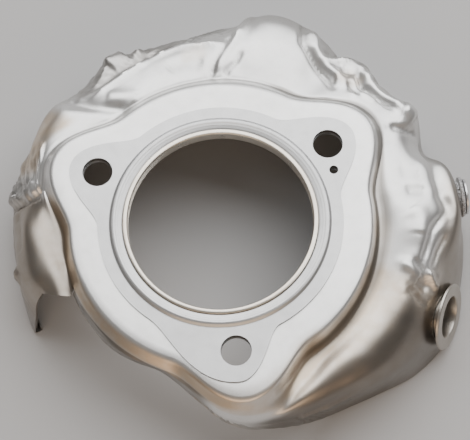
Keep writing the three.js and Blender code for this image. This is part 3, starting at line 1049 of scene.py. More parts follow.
PRESS_MARKS: tuple[PressMark, ...] = (
    # Left side of the dome: a double fold that runs down to the groove.
    PressMark(Mark.CREASE, -1.5, 3.0, ((79.5, 7.4), (82, 6.6), (85, 5.8), (88.5, 4.3))),
    PressMark(Mark.ROLL, 1.0, 2.6, ((77.5, 7.4), (80, 6.8), (83, 6.3), (85.6, 5.1))),
    PressMark(Mark.CREASE, -1.0, 2.6, ((77.0, 6.3), (78.5, 5.7), (81, 5.3), (83, 4.5))),
    PressMark(Mark.ROLL, 1.4, 3.0, ((76.0, 8.8), (77.5, 7.6), (79.6, 6.9))),
    PressMark(Mark.ROLL, -0.8, 4.5, ((102, 5.9), (95, 6.0), (89, 5.7))),
    # The band's crisp outer edge, and the fold where it meets the left bump.
    PressMark(Mark.CREASE, 1.5, 3.0, ((83, 6.7), (89.5, 6.7), (96, 7.05), (105, 7.0))),
    PressMark(Mark.CREASE, 1.5, 3.0, ((105, 7.0), (116, 6.75), (125.5, 6.7))),
    PressMark(Mark.ROLL, -1.8, 4.0, ((88, 7.6), (97, 7.6), (108, 7.4), (118, 7.2), (126, 7.2))),
    PressMark(Mark.ROLL, -1.4, 3.6, ((119, 4.4), (124, 5.3), (128, 6.1), (131, 7.0), (131, 7.8))),
    PressMark(Mark.ROLL, 0.7, 4.0, ((114, 5.0), (119, 5.7), (123, 6.3))),
    PressMark(Mark.ROLL, 3.4, 5.5, ((110.5, 8.1), (113, 7.9), (116.5, 7.8))),
    PressMark(Mark.ROLL, 1.8, 3.0, ((106.5, 8.1), (107.5, 7.8))),
    PressMark(Mark.ROLL, 1.0, 3.0, ((83.5, 7.4), (88, 7.5), (92, 7.7), (95, 7.8))),
    # Right side of the dome: a deep fold with a lip, and the wrinkles behind it.
    PressMark(
        Mark.CREASE, -2.4, 3.0, ((63.5, 8.3), (60.5, 7.2), (54.5, 6.7), (49, 6.2), (46, 5.8))
    ),
    PressMark(Mark.ROLL, 1.6, 2.6, ((60.5, 8.2), (57, 7.3), (52.5, 7.0), (47.5, 6.6), (44, 6.2))),
    PressMark(Mark.CREASE, 1.8, 2.6, ((54, 7.2), (51, 7.3), (48.5, 7.6), (45.5, 7.9))),
    PressMark(Mark.ROLL, -1.8, 3.2, ((47.8, 6.9), (45.5, 6.9))),
    PressMark(Mark.CREASE, -2.4, 2.8, ((45, 7.5), (43.5, 7.1), (40, 6.5), (34.5, 6.35), (29, 6.4))),
    PressMark(
        Mark.ROLL, 1.7, 2.8, ((42.5, 7.8), (40.5, 7.2), (36.5, 6.8), (31.5, 6.75), (27, 6.8))
    ),
    PressMark(Mark.CREASE, -1.4, 2.6, ((43.5, 6.4), (41.5, 6.1), (38, 5.6))),
    PressMark(Mark.ROLL, 1.0, 2.8, ((41, 5.5), (37, 5.9), (33, 5.8))),
    PressMark(Mark.ROLL, 2.0, 5.0, ((28, 6.9), (24.5, 7.4))),
    PressMark(Mark.CREASE, -1.6, 2.8, ((25, 5.4), (24, 5.9), (22.3, 6.5), (21, 7.2))),
    # The pillow beside the plateau, and the fold between it and the boss.
    PressMark(Mark.ROLL, -1.7, 3.6, ((20, 8.2), (14, 7.4), (6.5, 6.9), (1.5, 6.8), (355.5, 7.3))),
    PressMark(Mark.ROLL, -0.4, 4.0, ((10.5, 5.4), (9.5, 6.0), (8.8, 6.3))),
    PressMark(Mark.ROLL, -0.8, 3.0, ((4.2, 5.4), (3.8, 5.8), (3.5, 6.2))),
    PressMark(Mark.ROLL, 0.9, 5.0, ((359, 5.6), (355, 5.9), (350, 6.0))),
    PressMark(Mark.CREASE, -1.4, 2.8, ((357, 6.9), (352, 6.5), (346.5, 6.4), (342, 6.3))),
    PressMark(Mark.CREASE, -1.0, 2.4, ((352, 7.3), (347, 7.0), (342, 6.9))),
    # The pocket where the ramp starts.
    PressMark(Mark.ROLL, 0.9, 2.6, ((341, 5.4), (340.3, 5.8), (339.3, 6.2), (338.3, 6.6))),
    PressMark(Mark.CREASE, -1.0, 2.6, ((343, 5.9), (341.5, 6.2), (340.3, 6.6))),
    PressMark(Mark.ROLL, -2.0, 3.6, ((337.5, 6.4), (336.8, 6.8), (336.5, 7.2))),
    PressMark(Mark.CREASE, 1.8, 2.6, ((341.5, 6.7), (339.5, 7.1), (337.5, 7.6))),
    PressMark(Mark.CREASE, -1.0, 2.4, ((334.5, 6.1), (333, 6.7), (332.0, 7.2))),
    # Foot of the ramp.
    PressMark(Mark.CREASE, 1.2, 2.6, ((302, 7.9), (296, 7.8), (290, 7.7), (284, 7.6))),
    PressMark(Mark.CREASE, -0.9, 2.4, ((301, 8.5), (296, 8.4), (291, 8.3))),
    # The lap where the tunnel's sheet goes under its neighbour, and the lobe beside it.
    PressMark(
        Mark.CREASE, -2.0, 2.4, ((164.5, 8.6), (164, 7.8), (163.5, 6.85), (161, 5.6), (158, 4.6))
    ),
    PressMark(Mark.ROLL, 1.3, 2.4, ((162, 8.4), (161.6, 7.6), (161, 6.8), (158.8, 5.7))),
    PressMark(Mark.CREASE, 1.6, 2.4, ((157, 6.2), (159, 6.6), (160.5, 6.9))),
    PressMark(Mark.ROLL, 1.8, 5.5, ((158.5, 7.9), (160.5, 8.4))),
    PressMark(Mark.ROLL, -0.8, 3.2, ((166, 7.7), (169, 7.5), (174, 7.45), (179, 7.5))),
    PressMark(Mark.ROLL, 1.8, 2.6, ((182.5, 8.0), (184.3, 8.3))),
)


@dataclass(frozen=True)
class Patch:
    """A stretch of the sheet, by angle and row, whose edges fade over a few degrees or rows."""

    start: float
    end: float
    inner: float
    outer: float
    amount: float
    fade_angle: float = 5.0
    fade_row: float = 0.6

    def share(self, angles: np.ndarray, rows: np.ndarray) -> np.ndarray:
        """How much of the patch's amount a point gets.

        Args:
            angles: Degrees.
            rows: Places along the section.

        Returns:
            The amounts.
        """
        middle, half = (self.start + self.end) / 2, (self.end - self.start) / 2
        away = np.abs((angles - middle + 180) % 360 - 180) - half
        across = np.clip(1 - away / self.fade_angle, 0, 1)
        inside = np.clip((rows - self.inner) / self.fade_row + 1, 0, 1)
        outside = np.clip((self.outer - rows) / self.fade_row + 1, 0, 1)
        share = across * np.minimum(inside, outside)
        return self.amount * share * share * (3 - 2 * share)


@dataclass(frozen=True)
class Pleats:
    """Gathered folds side by side, which run down the sheet."""

    patch: Patch
    spacing: float
    lean: float = 0.0

    def height_at(self, points: np.ndarray, angles: np.ndarray, rows: np.ndarray) -> np.ndarray:
        """Height of the folds.

        Args:
            points: Points of the surface, in millimetres.
            angles: Their degrees.
            rows: Their places along the section.

        Returns:
            Heights in millimetres.
        """
        share = self.patch.share(angles, rows)
        height = np.zeros(len(points))
        for index in np.nonzero(share > 0.01)[0]:
            spot = Vector(points[index])
            around = math.radians(angles[index]) * math.hypot(spot.x, spot.y) / self.spacing
            warp = 0.9 * noise.noise(spot / 13.0)
            across = around + self.lean * rows[index] + warp
            fold = abs(noise.noise(Vector((across, rows[index] * 0.4, 5))))
            height[index] = share[index] * (2.6 * fold - 0.6)
        return height


PLEATS: tuple[Pleats, ...] = (
    Pleats(Patch(97, 110, 7.5, 10.4, 1.2), 4.5, 0.6),
    Pleats(Patch(117, 127, 7.5, 10.4, 0.7), 5.0, 0.3),
    Pleats(Patch(84, 96, 7.5, 8.6, 0.9), 7.0, 1.4),
    Pleats(Patch(149, 161, 5.6, 9.6, 1.1, 4), 5.0, 0.15),
    Pleats(Patch(258, 292, 7.6, 10.4, 0.6), 6.5, -0.6),
    Pleats(Patch(36, 50, 7.8, 10.4, 0.9), 7.0, 0.4),
)
CRUMPLED: tuple[Patch, ...] = (
    Patch(97, 126, 7.7, 10.4, 0.45),
    Patch(151, 163, 5.8, 9.4, 0.5, 3),
    Patch(168, 192, 8.8, 10.4, 0.5),
    Patch(38, 58, 7.4, 10.4, 0.6),
    Patch(332, 340, 6.2, 7.4, 0.45, 4),
)
# Stretches of the outer skin where a warm reflection is painted into its colour.
WARM_REFLECTION: tuple[Patch, ...] = (
    Patch(168, 262, 2.3, 3.5, 1.25, 10, 1.0),
    Patch(258, 300, 1.2, 4.6, 0.55, 8, 0.4),
    Patch(138, 153, 6.0, 8.2, 1.1, 4, 0.7),
    Patch(166, 196, 3.6, 8.6, 0.9, 6, 0.8),
    Patch(286, 334, 4.4, 7.6, 0.95, 8, 0.8),
    Patch(300, 350, 2.4, 4.4, 0.5, 10, 0.7),
    Patch(352, 378, 3.0, 4.4, 0.25, 8, 0.6),
    Patch(342, 362, 7.4, 9.4, 0.6, 8, 0.8),
    Patch(42, 47, 6.4, 6.9, 0.6, 2, 0.4),
    Patch(89, 95, 6.2, 6.5, 0.35, 2, 0.4),
)
# Stretches of the outer skin where shade is painted into its colour: the walls and skirts, the
# groove, the tunnel and the crumpled hem.
PAINTED_SHADE_PATCHES: tuple[Patch, ...] = (
    Patch(198, 256, 4.3, 10.4, 0.95, 6, 0.4),
    Patch(158, 178, 6.9, 9.0, 0.5, 4, 0.6),
    Patch(165, 195, 4.2, 8.6, 0.82, 4, 0.6),
    Patch(96, 127, 7.25, 10.4, 0.7, 4, 0.25),
    Patch(300, 420, 3.3, 4.4, 0.85, 10, 0.4),
    Patch(66, 160, 3.6, 4.1, 0.35, 8, 0.3),
    Patch(0, 359.9, 8.6, 10.4, 0.8, 10, 1.6),
    Patch(278, 326, 6.7, 10.4, 1.1, 10, 1.5),
    Patch(318, 374, 7.9, 10.4, 0.85, 6, 0.8),
)


@dataclass
class PressedShield:
    """The shield's layers: the outer skin with its rolled hem, the fibre mat and the inner skin."""

    place: Place
    form: ShieldForm = field(default_factory=ShieldForm)
    columns: int = 600
    sheet: float = 0.5
    depth: float = 2.9
    clamped: float = 0.8
    mat_gap: tuple[float, float] = (184, 264)
    mat_rows: tuple[float, float] = (6, 9)
    mat_under: float = 2.1
    closing_angle: float = 8.0
    hole_clearance: float = 0.5
    hem_steps: int = 5
    hem_upright: float = 1.5
    mark_reach: float = 2.2
    mark_rise: float = 5.0
    mark_ends: float = 0.25
    mark_sharpness: float = 1.6

    def __post_init__(self) -> None:
        """Works out the surface once for all three layers."""
        self.angles = np.arange(self.columns) * 360.0 / self.columns
        # The rows lie closer together where the sheet is pressed and crumpled.
        self.rows = np.array(
            [0, 0.8]
            + [1 + step / 4 for step in range(12)]
            + [4 + step / 5 for step in range(5)]
            + [5 + step / 10 for step in range(51)]
        )
        count = (len(self.angles), len(self.rows))
        self.angle_at = np.repeat(self.angles, count[1])
        self.row_at = np.tile(self.rows, count[0])
        base = self.eased(self.form.surface(self.angle_at, self.row_at).reshape(*count, 3))
        self.out = self.directions(base, passes=8)
        lift = self.press(base)
        self.points = base + self.out * lift[..., None]
        self.inner_points = base + self.out * self.envelope(lift)[..., None]
        self.hems = self.form.hem_radius(self.form.controls(self.angles))[:, None]
        self.hollow = self.hollows(lift)
        # Share of the painted warm reflection at each point.
        self.warm_reflection = sum(p.share(self.angle_at, self.row_at) for p in WARM_REFLECTION).reshape(count)
        # Share of the painted shade at each point.
        dark = np.maximum.reduce([p.share(self.angle_at, self.row_at) for p in PAINTED_SHADE_PATCHES])
        self.painted_shade = dark.reshape(count)

    def eased(self, points: np.ndarray, passes: int = 10) -> np.ndarray:
        """Takes the small kinks out of the free part of the sheet.

        Args:
            points: The grid.
            passes: Rounds of smoothing.

        Returns:
            The smoother grid.
        """
        away = np.minimum(
            np.abs(self.angles - self.form.mouth_from), np.abs(self.angles - self.form.mouth_to)
        )
        first_row, last_row, strength = 4.9, 9.9, 0.5
        free = np.clip(away / 4 - 0.2, 0, 1)[:, None]
        row = np.clip((self.rows - first_row) / 0.8, 0, 1)
        row *= np.clip((last_row - self.rows) / 0.6, 0, 1)
        share = (strength * free * row)[..., None]
        short_until = 262
        short = (self.angles >= self.form.mouth_to) & (self.angles <= short_until)
        share[short] = 0
        for _ in range(passes):
            inner = np.concatenate([points[:, :1], points[:, :-1]], 1)
            rim = np.concatenate([points[:, 1:], points[:, -1:]], 1)
            mean = (inner + rim + np.roll(points, 1, 0) + np.roll(points, -1, 0)) / 4
            points = points + (mean - points) * share
        return points

    def directions(self, points: np.ndarray, passes: int) -> np.ndarray:
        """Outward directions at every point of the grid.

        Args:
            points: The grid.
            passes: Rounds of smoothing.

        Returns:
            Unit vectors.
        """
        along = np.gradient(points, axis=1)
        around = (np.roll(points, -1, 0) - np.roll(points, 1, 0)) / 2
        first = int(np.argmin(np.abs(self.angles - self.form.mouth_from)))
        last = int(np.argmin(np.abs(self.angles - self.form.mouth_to)))
        outer = self.rows > GROOVE_ROW
        around[first, outer] = points[first, outer] - points[first - 1, outer]
        around[last, outer] = points[last + 1, outer] - points[last, outer]
        normal = np.cross(along, around)
        normal /= np.maximum(np.linalg.norm(normal, axis=2, keepdims=True), 1e-9)
        for _ in range(passes):
            left, right = np.roll(normal, 1, 0), np.roll(normal, -1, 0)
            left[last, outer] = normal[last, outer]
            right[first, outer] = normal[first, outer]
            inner = np.concatenate([normal[:, :1], normal[:, :-1]], 1)
            rim = np.concatenate([normal[:, 1:], normal[:, -1:]], 1)
            normal = 2 * normal + left + right + inner + rim
            normal /= np.linalg.norm(normal, axis=2, keepdims=True)
        return normal

    def press(self, base: np.ndarray) -> np.ndarray:
        """Height of the press marks, waviness, pleats and crumpling over the smooth surface.

        Args:
            base: The smooth grid.

        Returns:
            Heights in millimetres, one for each point.
        """
        shape = base.shape[:2]
        flat = base.reshape(-1, 3)
        lift = np.zeros(len(flat))
        for press_mark in PRESS_MARKS:
            lift += self.press_mark(flat, press_mark)
        free = np.clip((self.row_at - 4.6) / 0.8, 0, 1)
        wave_height, long_wave, short_wave = 0.4, 19.0, 8.0
        for index in np.nonzero(free > 0)[0]:
            spot = Vector(flat[index])
            ripple = 0.35 * noise.noise(spot / short_wave + Vector((3, 9, 4)))
            lift[index] += wave_height * (noise.noise(spot / long_wave) + ripple) * free[index]
        for pleats in PLEATS:
            lift += pleats.height_at(flat, self.angle_at, self.row_at)
        crumple = sum(patch.share(self.angle_at, self.row_at) for patch in CRUMPLED)
        large_fold, small_fold = 7.5, 3.8
        for index in np.nonzero(crumple > 0.01)[0]:
            spot = Vector(flat[index])
            small = 0.4 * abs(noise.noise(spot / small_fold + Vector((7, 3, 5))))
            fold = abs(noise.noise(spot / large_fold)) + small
            lift[index] += crumple[index] * (2.2 * fold - 0.6)
        rim_fade = np.clip((RIM_ROW - self.row_at) / 0.5, 0.35, 1)
        return (lift * np.clip((self.row_at - 3.8) / 0.6, 0, 1) * rim_fade).reshape(shape)

    def envelope(self, lift: np.ndarray) -> np.ndarray:
        """Height map for the inner layers, which pass under every dent.

        Args:
            lift: The outer skin's height map.

        Returns:
            A smoother height map that lies nowhere above it.
        """
        low = lift
        spread_passes, smooth_passes = 4, 3
        for _ in range(spread_passes):
            padded = np.pad(low, ((0, 0), (1, 1)), mode="edge")
            low = np.minimum.reduce([low, np.roll(low, 1, 0), np.roll(low, -1, 0)])
            low = np.minimum.reduce([low, padded[:, 2:], padded[:, :-2]])
        for _ in range(smooth_passes):
            padded = np.pad(low, ((0, 0), (1, 1)), mode="edge")
            low = (np.roll(low, 1, 0) + np.roll(low, -1, 0) + padded[:, 2:] + padded[:, :-2]) / 4
        return np.minimum(low, lift)

    def press_mark(self, points: np.ndarray, mark: PressMark) -> np.ndarray:
        """Height that one press mark adds.

        Args:
            points: The surface's points, shape (n, 3).
            mark: The press mark.

        Returns:
            Heights in millimetres.
        """
        line = self.form.path(mark.path)
        reach = mark.width * self.mark_reach
        low, high = line[:, :3].min(0) - reach, line[:, :3].max(0) + reach
        near = np.nonzero(np.all((points > low) & (points < high), axis=1))[0]
        lift = np.zeros(len(points))
        if not len(near):
            return lift
        gaps = np.linalg.norm(points[near, None] - line[None, :, :3], axis=2)
        closest = gaps.argmin(1)
        away = gaps[np.arange(len(near)), closest] / mark.width
        share = line[closest, 3]
        taper = np.clip(np.minimum(share, 1 - share) * self.mark_rise + self.mark_ends, 0, 1)
        if mark.mark is Mark.CREASE:
            form = np.maximum(1 - away, 0) ** self.mark_sharpness
        else:
            form = np.exp(-(away**2) * self.mark_sharpness)
        lift[near] = mark.height * form * taper
        return lift

    def hollows(self, lift: np.ndarray) -> np.ndarray:
        """How deep each point lies in a fold, from 0 to 1, which sets the painted shade in the
        folds.

        Args:
            lift: The height map.

        Returns:
            The share of each point.
        """
        around = (np.roll(lift, 1, 0) + np.roll(lift, -1, 0)) / 2
        along = lift.copy()
        along[:, 1:-1] = (lift[:, 2:] + lift[:, :-2]) / 2
        per_millimetre = 7.0
        return np.clip(((around + along) / 2 - lift) * per_millimetre, 0, 1)

    def hem_rows(self) -> tuple[np.ndarray, np.ndarray]:
        """Rows that roll the outer skin under the rim and up inside.

        Returns:
            The rows' points and outward directions.
        """
        rim = self.points[:, -1]
        away = self.out[:, -1].copy()
        away[:, 2] = 0
        away /= np.linalg.norm(away, axis=1, keepdims=True)
        down = np.array([0, 0, -1.0])
        points, directions = [], []
        for step in range(1, self.hem_steps + 1):
            turn = math.pi * step / self.hem_steps
            inward = -away * (1 - math.cos(turn))
            points.append(rim + self.hems * (inward + down * math.sin(turn)))
            directions.append(away * math.cos(turn) + down * math.sin(turn))
        points.append(points[-1] - down * self.hem_upright * self.hems)
        directions.append(directions[-1])
        return np.stack(points, 1), np.stack(directions, 1)

    def sheet_mesh(
        self,
        name: str,
        upper: np.ndarray,
        lower: np.ndarray,
        rows: np.ndarray,
        every: int = 1,
        marks: dict[str, np.ndarray] | None = None,
        gap: tuple[float, float] | None = None,
    ) -> bpy.types.Object:
        """A closed sheet between two grids, open at the mouth.

        Args:
            name: The piece's name.
            upper: Points of the outer side.
            lower: Points of the inner side.
            rows: Each row's place along the section.
            every: Columns taken, 1 for all.
            marks: Attributes of the grid's points, by name.
            gap: Angles between which the sheet is left out, or None for the mouth alone.

        Returns:
            The sheet, in millimetres.
        """
        angles = self.angles[::every]
        columns, count = len(angles), len(rows)
        corner = np.arange(columns * count).reshape(columns, count)
        after = np.roll(corner, -1, 0)
        ring = np.stack([corner[:, :-1], corner[:, 1:], after[:, 1:], after[:, :-1]], -1)
        start, end = gap or (self.form.mouth_from, self.form.mouth_to)
        reach, margin = every * 360.0 / self.columns, 0.01
        in_gap = (angles + reach > start + margin) & (angles < end - margin)
        keep = ~(in_gap[:, None] & (rows[:-1] >= GROOVE_ROW)[None])
        quads = ring[keep]
        total = columns * count
        edges: dict[tuple[int, int], None] = {}
        for quad in quads.tolist():
            for side in range(4):
                one, other = quad[side], quad[(side + 1) % 4]
                if (other, one) in edges:
                    del edges[(other, one)]
                else:
                    edges[(one, other)] = None
        walls = [(other, one, one + total, other + total) for one, other in edges]
        faces = [*quads.tolist(), *(quads[:, ::-1] + total).tolist(), *walls]
        corners = np.concatenate([upper[::every].reshape(-1, 3), lower[::every].reshape(-1, 3)])
        mesh = bpy.data.meshes.new(name)
        mesh.from_pydata(corners.tolist(), [], faces)
        for key, values in (marks or {}).items():
            side = values[::every].reshape(-1)
            layer = mesh.attributes.new(key, "FLOAT", "POINT")
            layer.data.foreach_set("value", np.concatenate([side, side]).astype(np.float32))
        piece = bpy.data.objects.new(name, mesh)
        bpy.context.scene.collection.objects.link(piece)
        only(piece)
        bpy.ops.object.mode_set(mode="EDIT")
        bpy.ops.mesh.select_all(action="SELECT")
        bpy.ops.mesh.delete_loose()
        bpy.ops.object.mode_set(mode="OBJECT")
        return piece

    def below(self, depth: np.ndarray | float) -> np.ndarray:
        """The grid moved inwards.

        Args:
            depth: How far, in millimetres, one value for all or one for each point.

        Returns:
            The moved grid.
        """
        spread = depth[..., None] if isinstance(depth, np.ndarray) else depth
        return self.inner_points - self.out * spread

    def outer_skin(self) -> bpy.types.Object:
        """Builds the outer skin with its hem.

        Returns:
            The skin, in millimetres.
        """
        hem, hem_out = self.hem_rows()
        upper = np.concatenate([self.points, hem], 1)
        under = self.points - self.out * self.sheet
        lower = np.concatenate([under, hem - hem_out * self.sheet], 1)
        rows = np.concatenate([self.rows, RIM_ROW + 0.05 * np.arange(1, hem.shape[1] + 1)])
        padding = np.zeros((self.columns, hem.shape[1]))
        # Point attributes that the shield steel reads for its painted reflection and painted shade.
        marks = {
            "warm_reflection": np.concatenate([self.warm_reflection, padding], 1),
            "hollow": np.concatenate([self.hollow, padding], 1),
            # The hem carries on the painted shade of the rim.
            "painted_shade": np.concatenate([self.painted_shade, padding + self.painted_shade[:, -1:]], 1),
        }
        return self.sheet_mesh("shield_outer", upper, lower, rows, 1, marks)

    def inner_skin(self) -> bpy.types.Object:
        """Builds the inner skin, which closes up on the outer one at the clamp and the mouth.

        Returns:
            The skin, in millimetres.
        """
        apart = self.depth - self.sheet
        free = np.clip((self.rows - GROOVE_ROW) / 2, 0, 1)[None]
        before = np.clip((self.form.mouth_from - self.angles) / self.closing_angle, 0, 1)
        after = np.clip((self.angles - self.form.mouth_to) / self.closing_angle, 0, 1)
        from_mouth = np.where(self.angles <= self.form.mouth_from, before, after)
        share = free * (1 - free * (1 - from_mouth[:, None]))
        depth = self.clamped + (apart - self.clamped) * share
        keep = self.rows < RIM_ROW
        upper, lower = self.below(depth), self.below(depth + self.sheet)
        return self.sheet_mesh("shield_inner", upper[:, keep], lower[:, keep], self.rows[keep], 2)

    def mat(self) -> bpy.types.Object:
        """Builds the fibre mat between the skins.

        Returns:
            The mat, in millimetres.
        """
        first, last = self.mat_rows
        keep = (self.rows >= first) & (self.rows <= last)
        upper, lower = self.below(self.clamped)[:, keep], self.below(self.mat_under)[:, keep]
        return self.sheet_mesh("fibre_mat", upper, lower, self.rows[keep], 4, gap=self.mat_gap)

    def build(self, cutters: Callable[[float], list[bpy.types.Object]]) -> None:
        """Builds the three layers and cuts their holes.

        Args:
            cutters: Makes fresh cutters for a clearance in millimetres.
        """
        layers = (
            (self.outer_skin(), SHIELD_STEEL, "shield_steel", "shield_outer_skin"),
            (self.inner_skin(), INNER_STEEL, "inner_steel", "shield_inner_skin"),
            (self.mat(), INSULATION, "insulation", "insulation_mat"),
        )
        for piece, finish, slot, node in layers:
            for cutter in cutters(self.hole_clearance):
                cut_with(piece, cutter, "MANIFOLD")
            shade(piece, 60)
            hand_in(piece, self.place.matrix(), finish, "shield", slot, node)


# ---- Screw bush and port collar ----------------------------------------------------


@dataclass
class ScrewBush:
    """The decoupled screw bush on the right boss, about +X."""

    place: Place
    flange: float = 3.6
    neck: float = 6.5
    segments: int = 96

    def __post_init__(self) -> None:
        """Reads where the sleeve's flange ends from the frame."""
        low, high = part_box("bush_sleeve")
        self.outer_face = high.x
        self.middle = (low + high) / 2

    def matrix(self) -> Matrix:
        """Turns a ring made about +Z, with the sheet's face at level 0, onto the bush's axis."""
        at = Vector((self.outer_face - self.flange * MM, self.middle.y, self.middle.z))
        return Matrix.Translation(at) @ Matrix.Rotation(math.pi / 2, 4, "Y") @ Matrix.Scale(MM, 4)

    def sleeve(self) -> None:
        """The flanged sleeve."""
        profile = [
            (3.5, -9.0), (3.7, -9.2), (4.3, -9.2), (4.4, -9.0), (4.4, 2.2), (4.6, 2.4), (6.7, 2.4),
            (7.0, 2.6), (7.0, 3.2), (6.7, 3.5), (6.2, 3.6), (4.3, 3.6), (3.9, 3.5), (3.5, 3.1),
        ]
        piece = turned("screw_sleeve", profile, self.segments)
        shade(piece)
        hand_in(piece, self.matrix(), BUSH_STEEL, "bush", "bush_steel", "bush_sleeve")

    def washer(self) -> None:
        """The washer behind the cushion."""
        profile = [(4.7, -8.7), (6.8, -8.7), (7.0, -8.5), (7.0, -7.7), (6.8, -7.5), (4.7, -7.5)]
        piece = turned("screw_washer", profile, self.segments)
        shade(piece)
        hand_in(piece, self.matrix(), BUSH_STEEL, "bush", "bush_steel", "bush_washer")

    def cushion(self) -> None:
        """The knitted wire cushion, its faces knobbly from the pressed strands."""
        outline = [
            (4.8, -7.0), (6.2, -7.1), (7.4, -6.9), (7.7, -6.2), (7.2, -5.5), (6.5, -5.2),
            (6.5, 0.4), (7.0, 0.6), (7.6, 0.7), (7.9, 1.2), (7.6, 1.9), (7.0, 2.1), (6.0, 2.05),
            (4.8, 2.0),
        ]
        bore, strands_per_mm, depth = 4.9, 1.6, 0.35
        piece = turned("wire_cushion", outline, 144)
        only(piece)
        bpy.ops.object.mode_set(mode="EDIT")
        bpy.ops.mesh.select_all(action="SELECT")
        bpy.ops.mesh.subdivide(number_cuts=1)
        bpy.ops.object.mode_set(mode="OBJECT")
        for vertex in piece.data.vertices:
            if math.hypot(vertex.co.x, vertex.co.y) > bore:
                strand = abs(noise.noise(vertex.co * strands_per_mm)) - 0.25
                vertex.co += vertex.normal * depth * strand
        shade(piece, 60)
        hand_in(piece, self.matrix(), WIRE_MESH, "shield", "wire_mesh", "mesh_cushion")

    def cutter(self, clearance: float) -> bpy.types.Object:
        """A cylinder that cuts the bush's hole in the skins.

        Args:
            clearance: Added to the neck's radius.

        Returns:
            The cutter, in millimetres about the bore.
        """
        at = (self.middle - self.place.axis) / MM
        at.x = (self.outer_face - self.place.axis.x) / MM - self.flange
        return post(self.neck + clearance, 16, at, (0, math.pi / 2, 0))

    def build(self) -> None:
        """Builds the bush's pieces."""
        self.sleeve()
        self.washer()
        self.cushion()


@dataclass
class PortCollar:
    """The rolled collar round the sensor port on the right skirt."""

    place: Place
    angle: float = 334.0
    radius: float = 90.4
    level: float = -28.6
    rise: float = 17.0
    neck: float = 9.1

    def matrix(self) -> Matrix:
        """Turns a ring made about +Z onto the port's axis, in millimetres about the bore."""
        turn = math.radians(self.angle)
        at = Vector((self.radius * math.cos(turn), self.radius * math.sin(turn), self.level))
        tilt = Matrix.Rotation(math.radians(90 - self.rise), 4, "Y")
        return Matrix.Translation(at) @ Matrix.Rotation(turn, 4, "Z") @ tilt

    def cutter(self, clearance: float) -> bpy.types.Object:
        """A cylinder that cuts the port's hole in the skins.

        Args:
            clearance: Added to the neck's radius.

        Returns:
            The cutter, in millimetres about the bore.
        """
        cutter = post(self.neck + clearance, 18)
        cutter.data.transform(self.matrix())
        return cutter

    def build(self) -> None:
        """Builds the collar."""
        profile = [
            (8.0, -6.5), (8.3, -6.8), (10.8, -6.8), (11.0, -6.5), (11.0, -6.1), (10.8, -6.0),
            (9.3, -6.0), (9.0, -5.7), (9.0, 0.3), (9.2, 0.6), (12.7, 0.6), (13.0, 0.85),
            (13.0, 1.35), (12.8, 1.7), (12.3, 1.9), (11.4, 1.85), (10.2, 1.75), (9.2, 1.85),
            (8.6, 1.85), (8.2, 1.65), (8.0, 1.2),
        ]
        piece = turned("port_ring", profile, 128)
        shade(piece, 50)
        place = self.place.matrix() @ self.matrix()
        # The collar wears the shaded copy of the eyelet steel, as painted shade.
        hand_in(piece, place, SHADED_PORT_STEEL, "shield", "eyelet_steel", "port_collar")


# ---- Studio ------------------------------------------------------------------------


@dataclass(frozen=True)
class Softbox:
    """One soft area light: where it is from the bore in metres, its size, power and colour."""

    name: str
    offset: tuple[float, float, float]
    size: tuple[float, float]
    power: float
    colour: Colour

    def build(self, aim: Vector) -> None:
        """Adds the light, turned to the object.

        Args:
            aim: The point that it faces.
        """
        light = bpy.data.lights.new(self.name, "AREA")
        light.shape = "RECTANGLE"
        light.size, light.size_y = self.size
        light.energy = self.power
        light.color = self.colour
        lamp = bpy.data.objects.new(self.name, light)
        lamp.location = aim + Vector(self.offset)
        lamp.rotation_euler = (-Vector(self.offset)).to_track_quat("-Z", "Y").to_euler()
        bpy.context.scene.collection.objects.link(lamp)


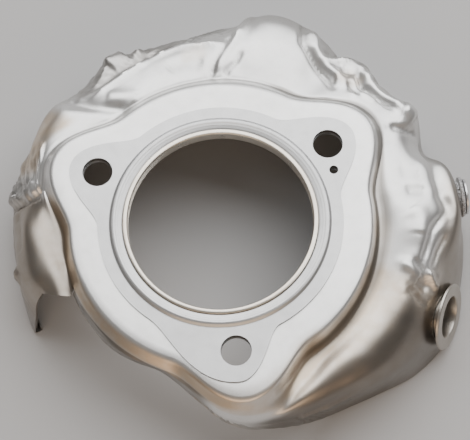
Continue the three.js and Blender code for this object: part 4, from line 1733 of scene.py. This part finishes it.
@dataclass
class Studio:
    """Pale floor, soft light and the camera."""

    place: Place
    distance: float = 0.620
    tilt: float = 20.25
    roll: float = 5.98
    azimuth: float = 1.1
    aim: tuple[float, float] = (-0.00554, -0.00009)
    lens: float = 126.5
    sensor: float = 36.0
    floor_size: float = 6.0
    room: Colour = (0.30, 0.29, 0.28)
    room_strength: float = 0.7

    def floor(self) -> None:
        """The floor that the object stands on."""
        deselect()
        bpy.ops.mesh.primitive_plane_add(size=self.floor_size, location=(0, 0, 0))
        ground = bpy.context.object
        ground.name = "floor"
        ground.data.materials.append(FLOOR_PAINT.material())

    def lights(self) -> None:
        """The softboxes and the dim surrounding light."""
        for box in (
            Softbox("overhead", (0.22, 0.5, 1.0), (1.95, 0.92), 17.8, (1.0, 0.995, 0.985)),
            Softbox("back_wall", (0.35, 1.25, 0.72), (2.4, 0.6), 11.5, (1.0, 1.0, 1.0)),
            Softbox("front_card", (-0.1, -1.0, 0.5), (1.6, 0.7), 5.0, (1.0, 0.72, 0.48)),
        ):
            box.build(self.place.axis)
        world = bpy.data.worlds.new("room")
        world.use_nodes = True
        backdrop = world.node_tree.nodes["Background"]
        backdrop.inputs["Color"].default_value = (*self.room, 1.0)
        backdrop.inputs["Strength"].default_value = self.room_strength
        bpy.context.scene.world = world

    def camera(self) -> None:
        """The camera, looking down on the gasket from the front."""
        turn = (
            Matrix.Rotation(math.radians(self.roll), 3, "Z")
            @ Matrix.Rotation(math.radians(-self.tilt), 3, "X")
            @ Matrix.Rotation(math.radians(self.azimuth), 3, "Z")
        )
        eye = turn.transposed() @ Vector((-self.aim[0], -self.aim[1], self.distance))
        data = bpy.data.cameras.new("camera")
        data.lens = self.lens
        data.sensor_width = self.sensor
        camera = bpy.data.objects.new("camera", data)
        pose = turn.transposed().to_4x4()
        pose.translation = self.place.axis + eye
        camera.matrix_world = pose
        bpy.context.scene.collection.objects.link(camera)
        bpy.context.scene.camera = camera

    def build(self) -> None:
        """Builds the studio."""
        self.floor()
        self.lights()
        self.camera()


def main() -> None:
    """Builds every sub-assembly in order, then the studio."""
    logging.basicConfig(level=logging.INFO, format="%(name)s: %(message)s")
    place = Place.from_frame()
    gasket = GasketPack(place)
    bush = ScrewBush(place)
    port = PortCollar(place)

    def cutters(clearance: float) -> list[bpy.types.Object]:
        """Fresh cutters for every hole in the shield's layers."""
        made = [bush.cutter(clearance), port.cutter(clearance)]
        made += [post(radius, 12, (x, y, 0)) for x, y, radius in gasket.holes(clearance)]
        return made

    gasket.build()
    PressedShield(place).build(cutters)
    bush.build()
    port.build()
    Studio(place).build()


if __name__ == "__main__":
    main()
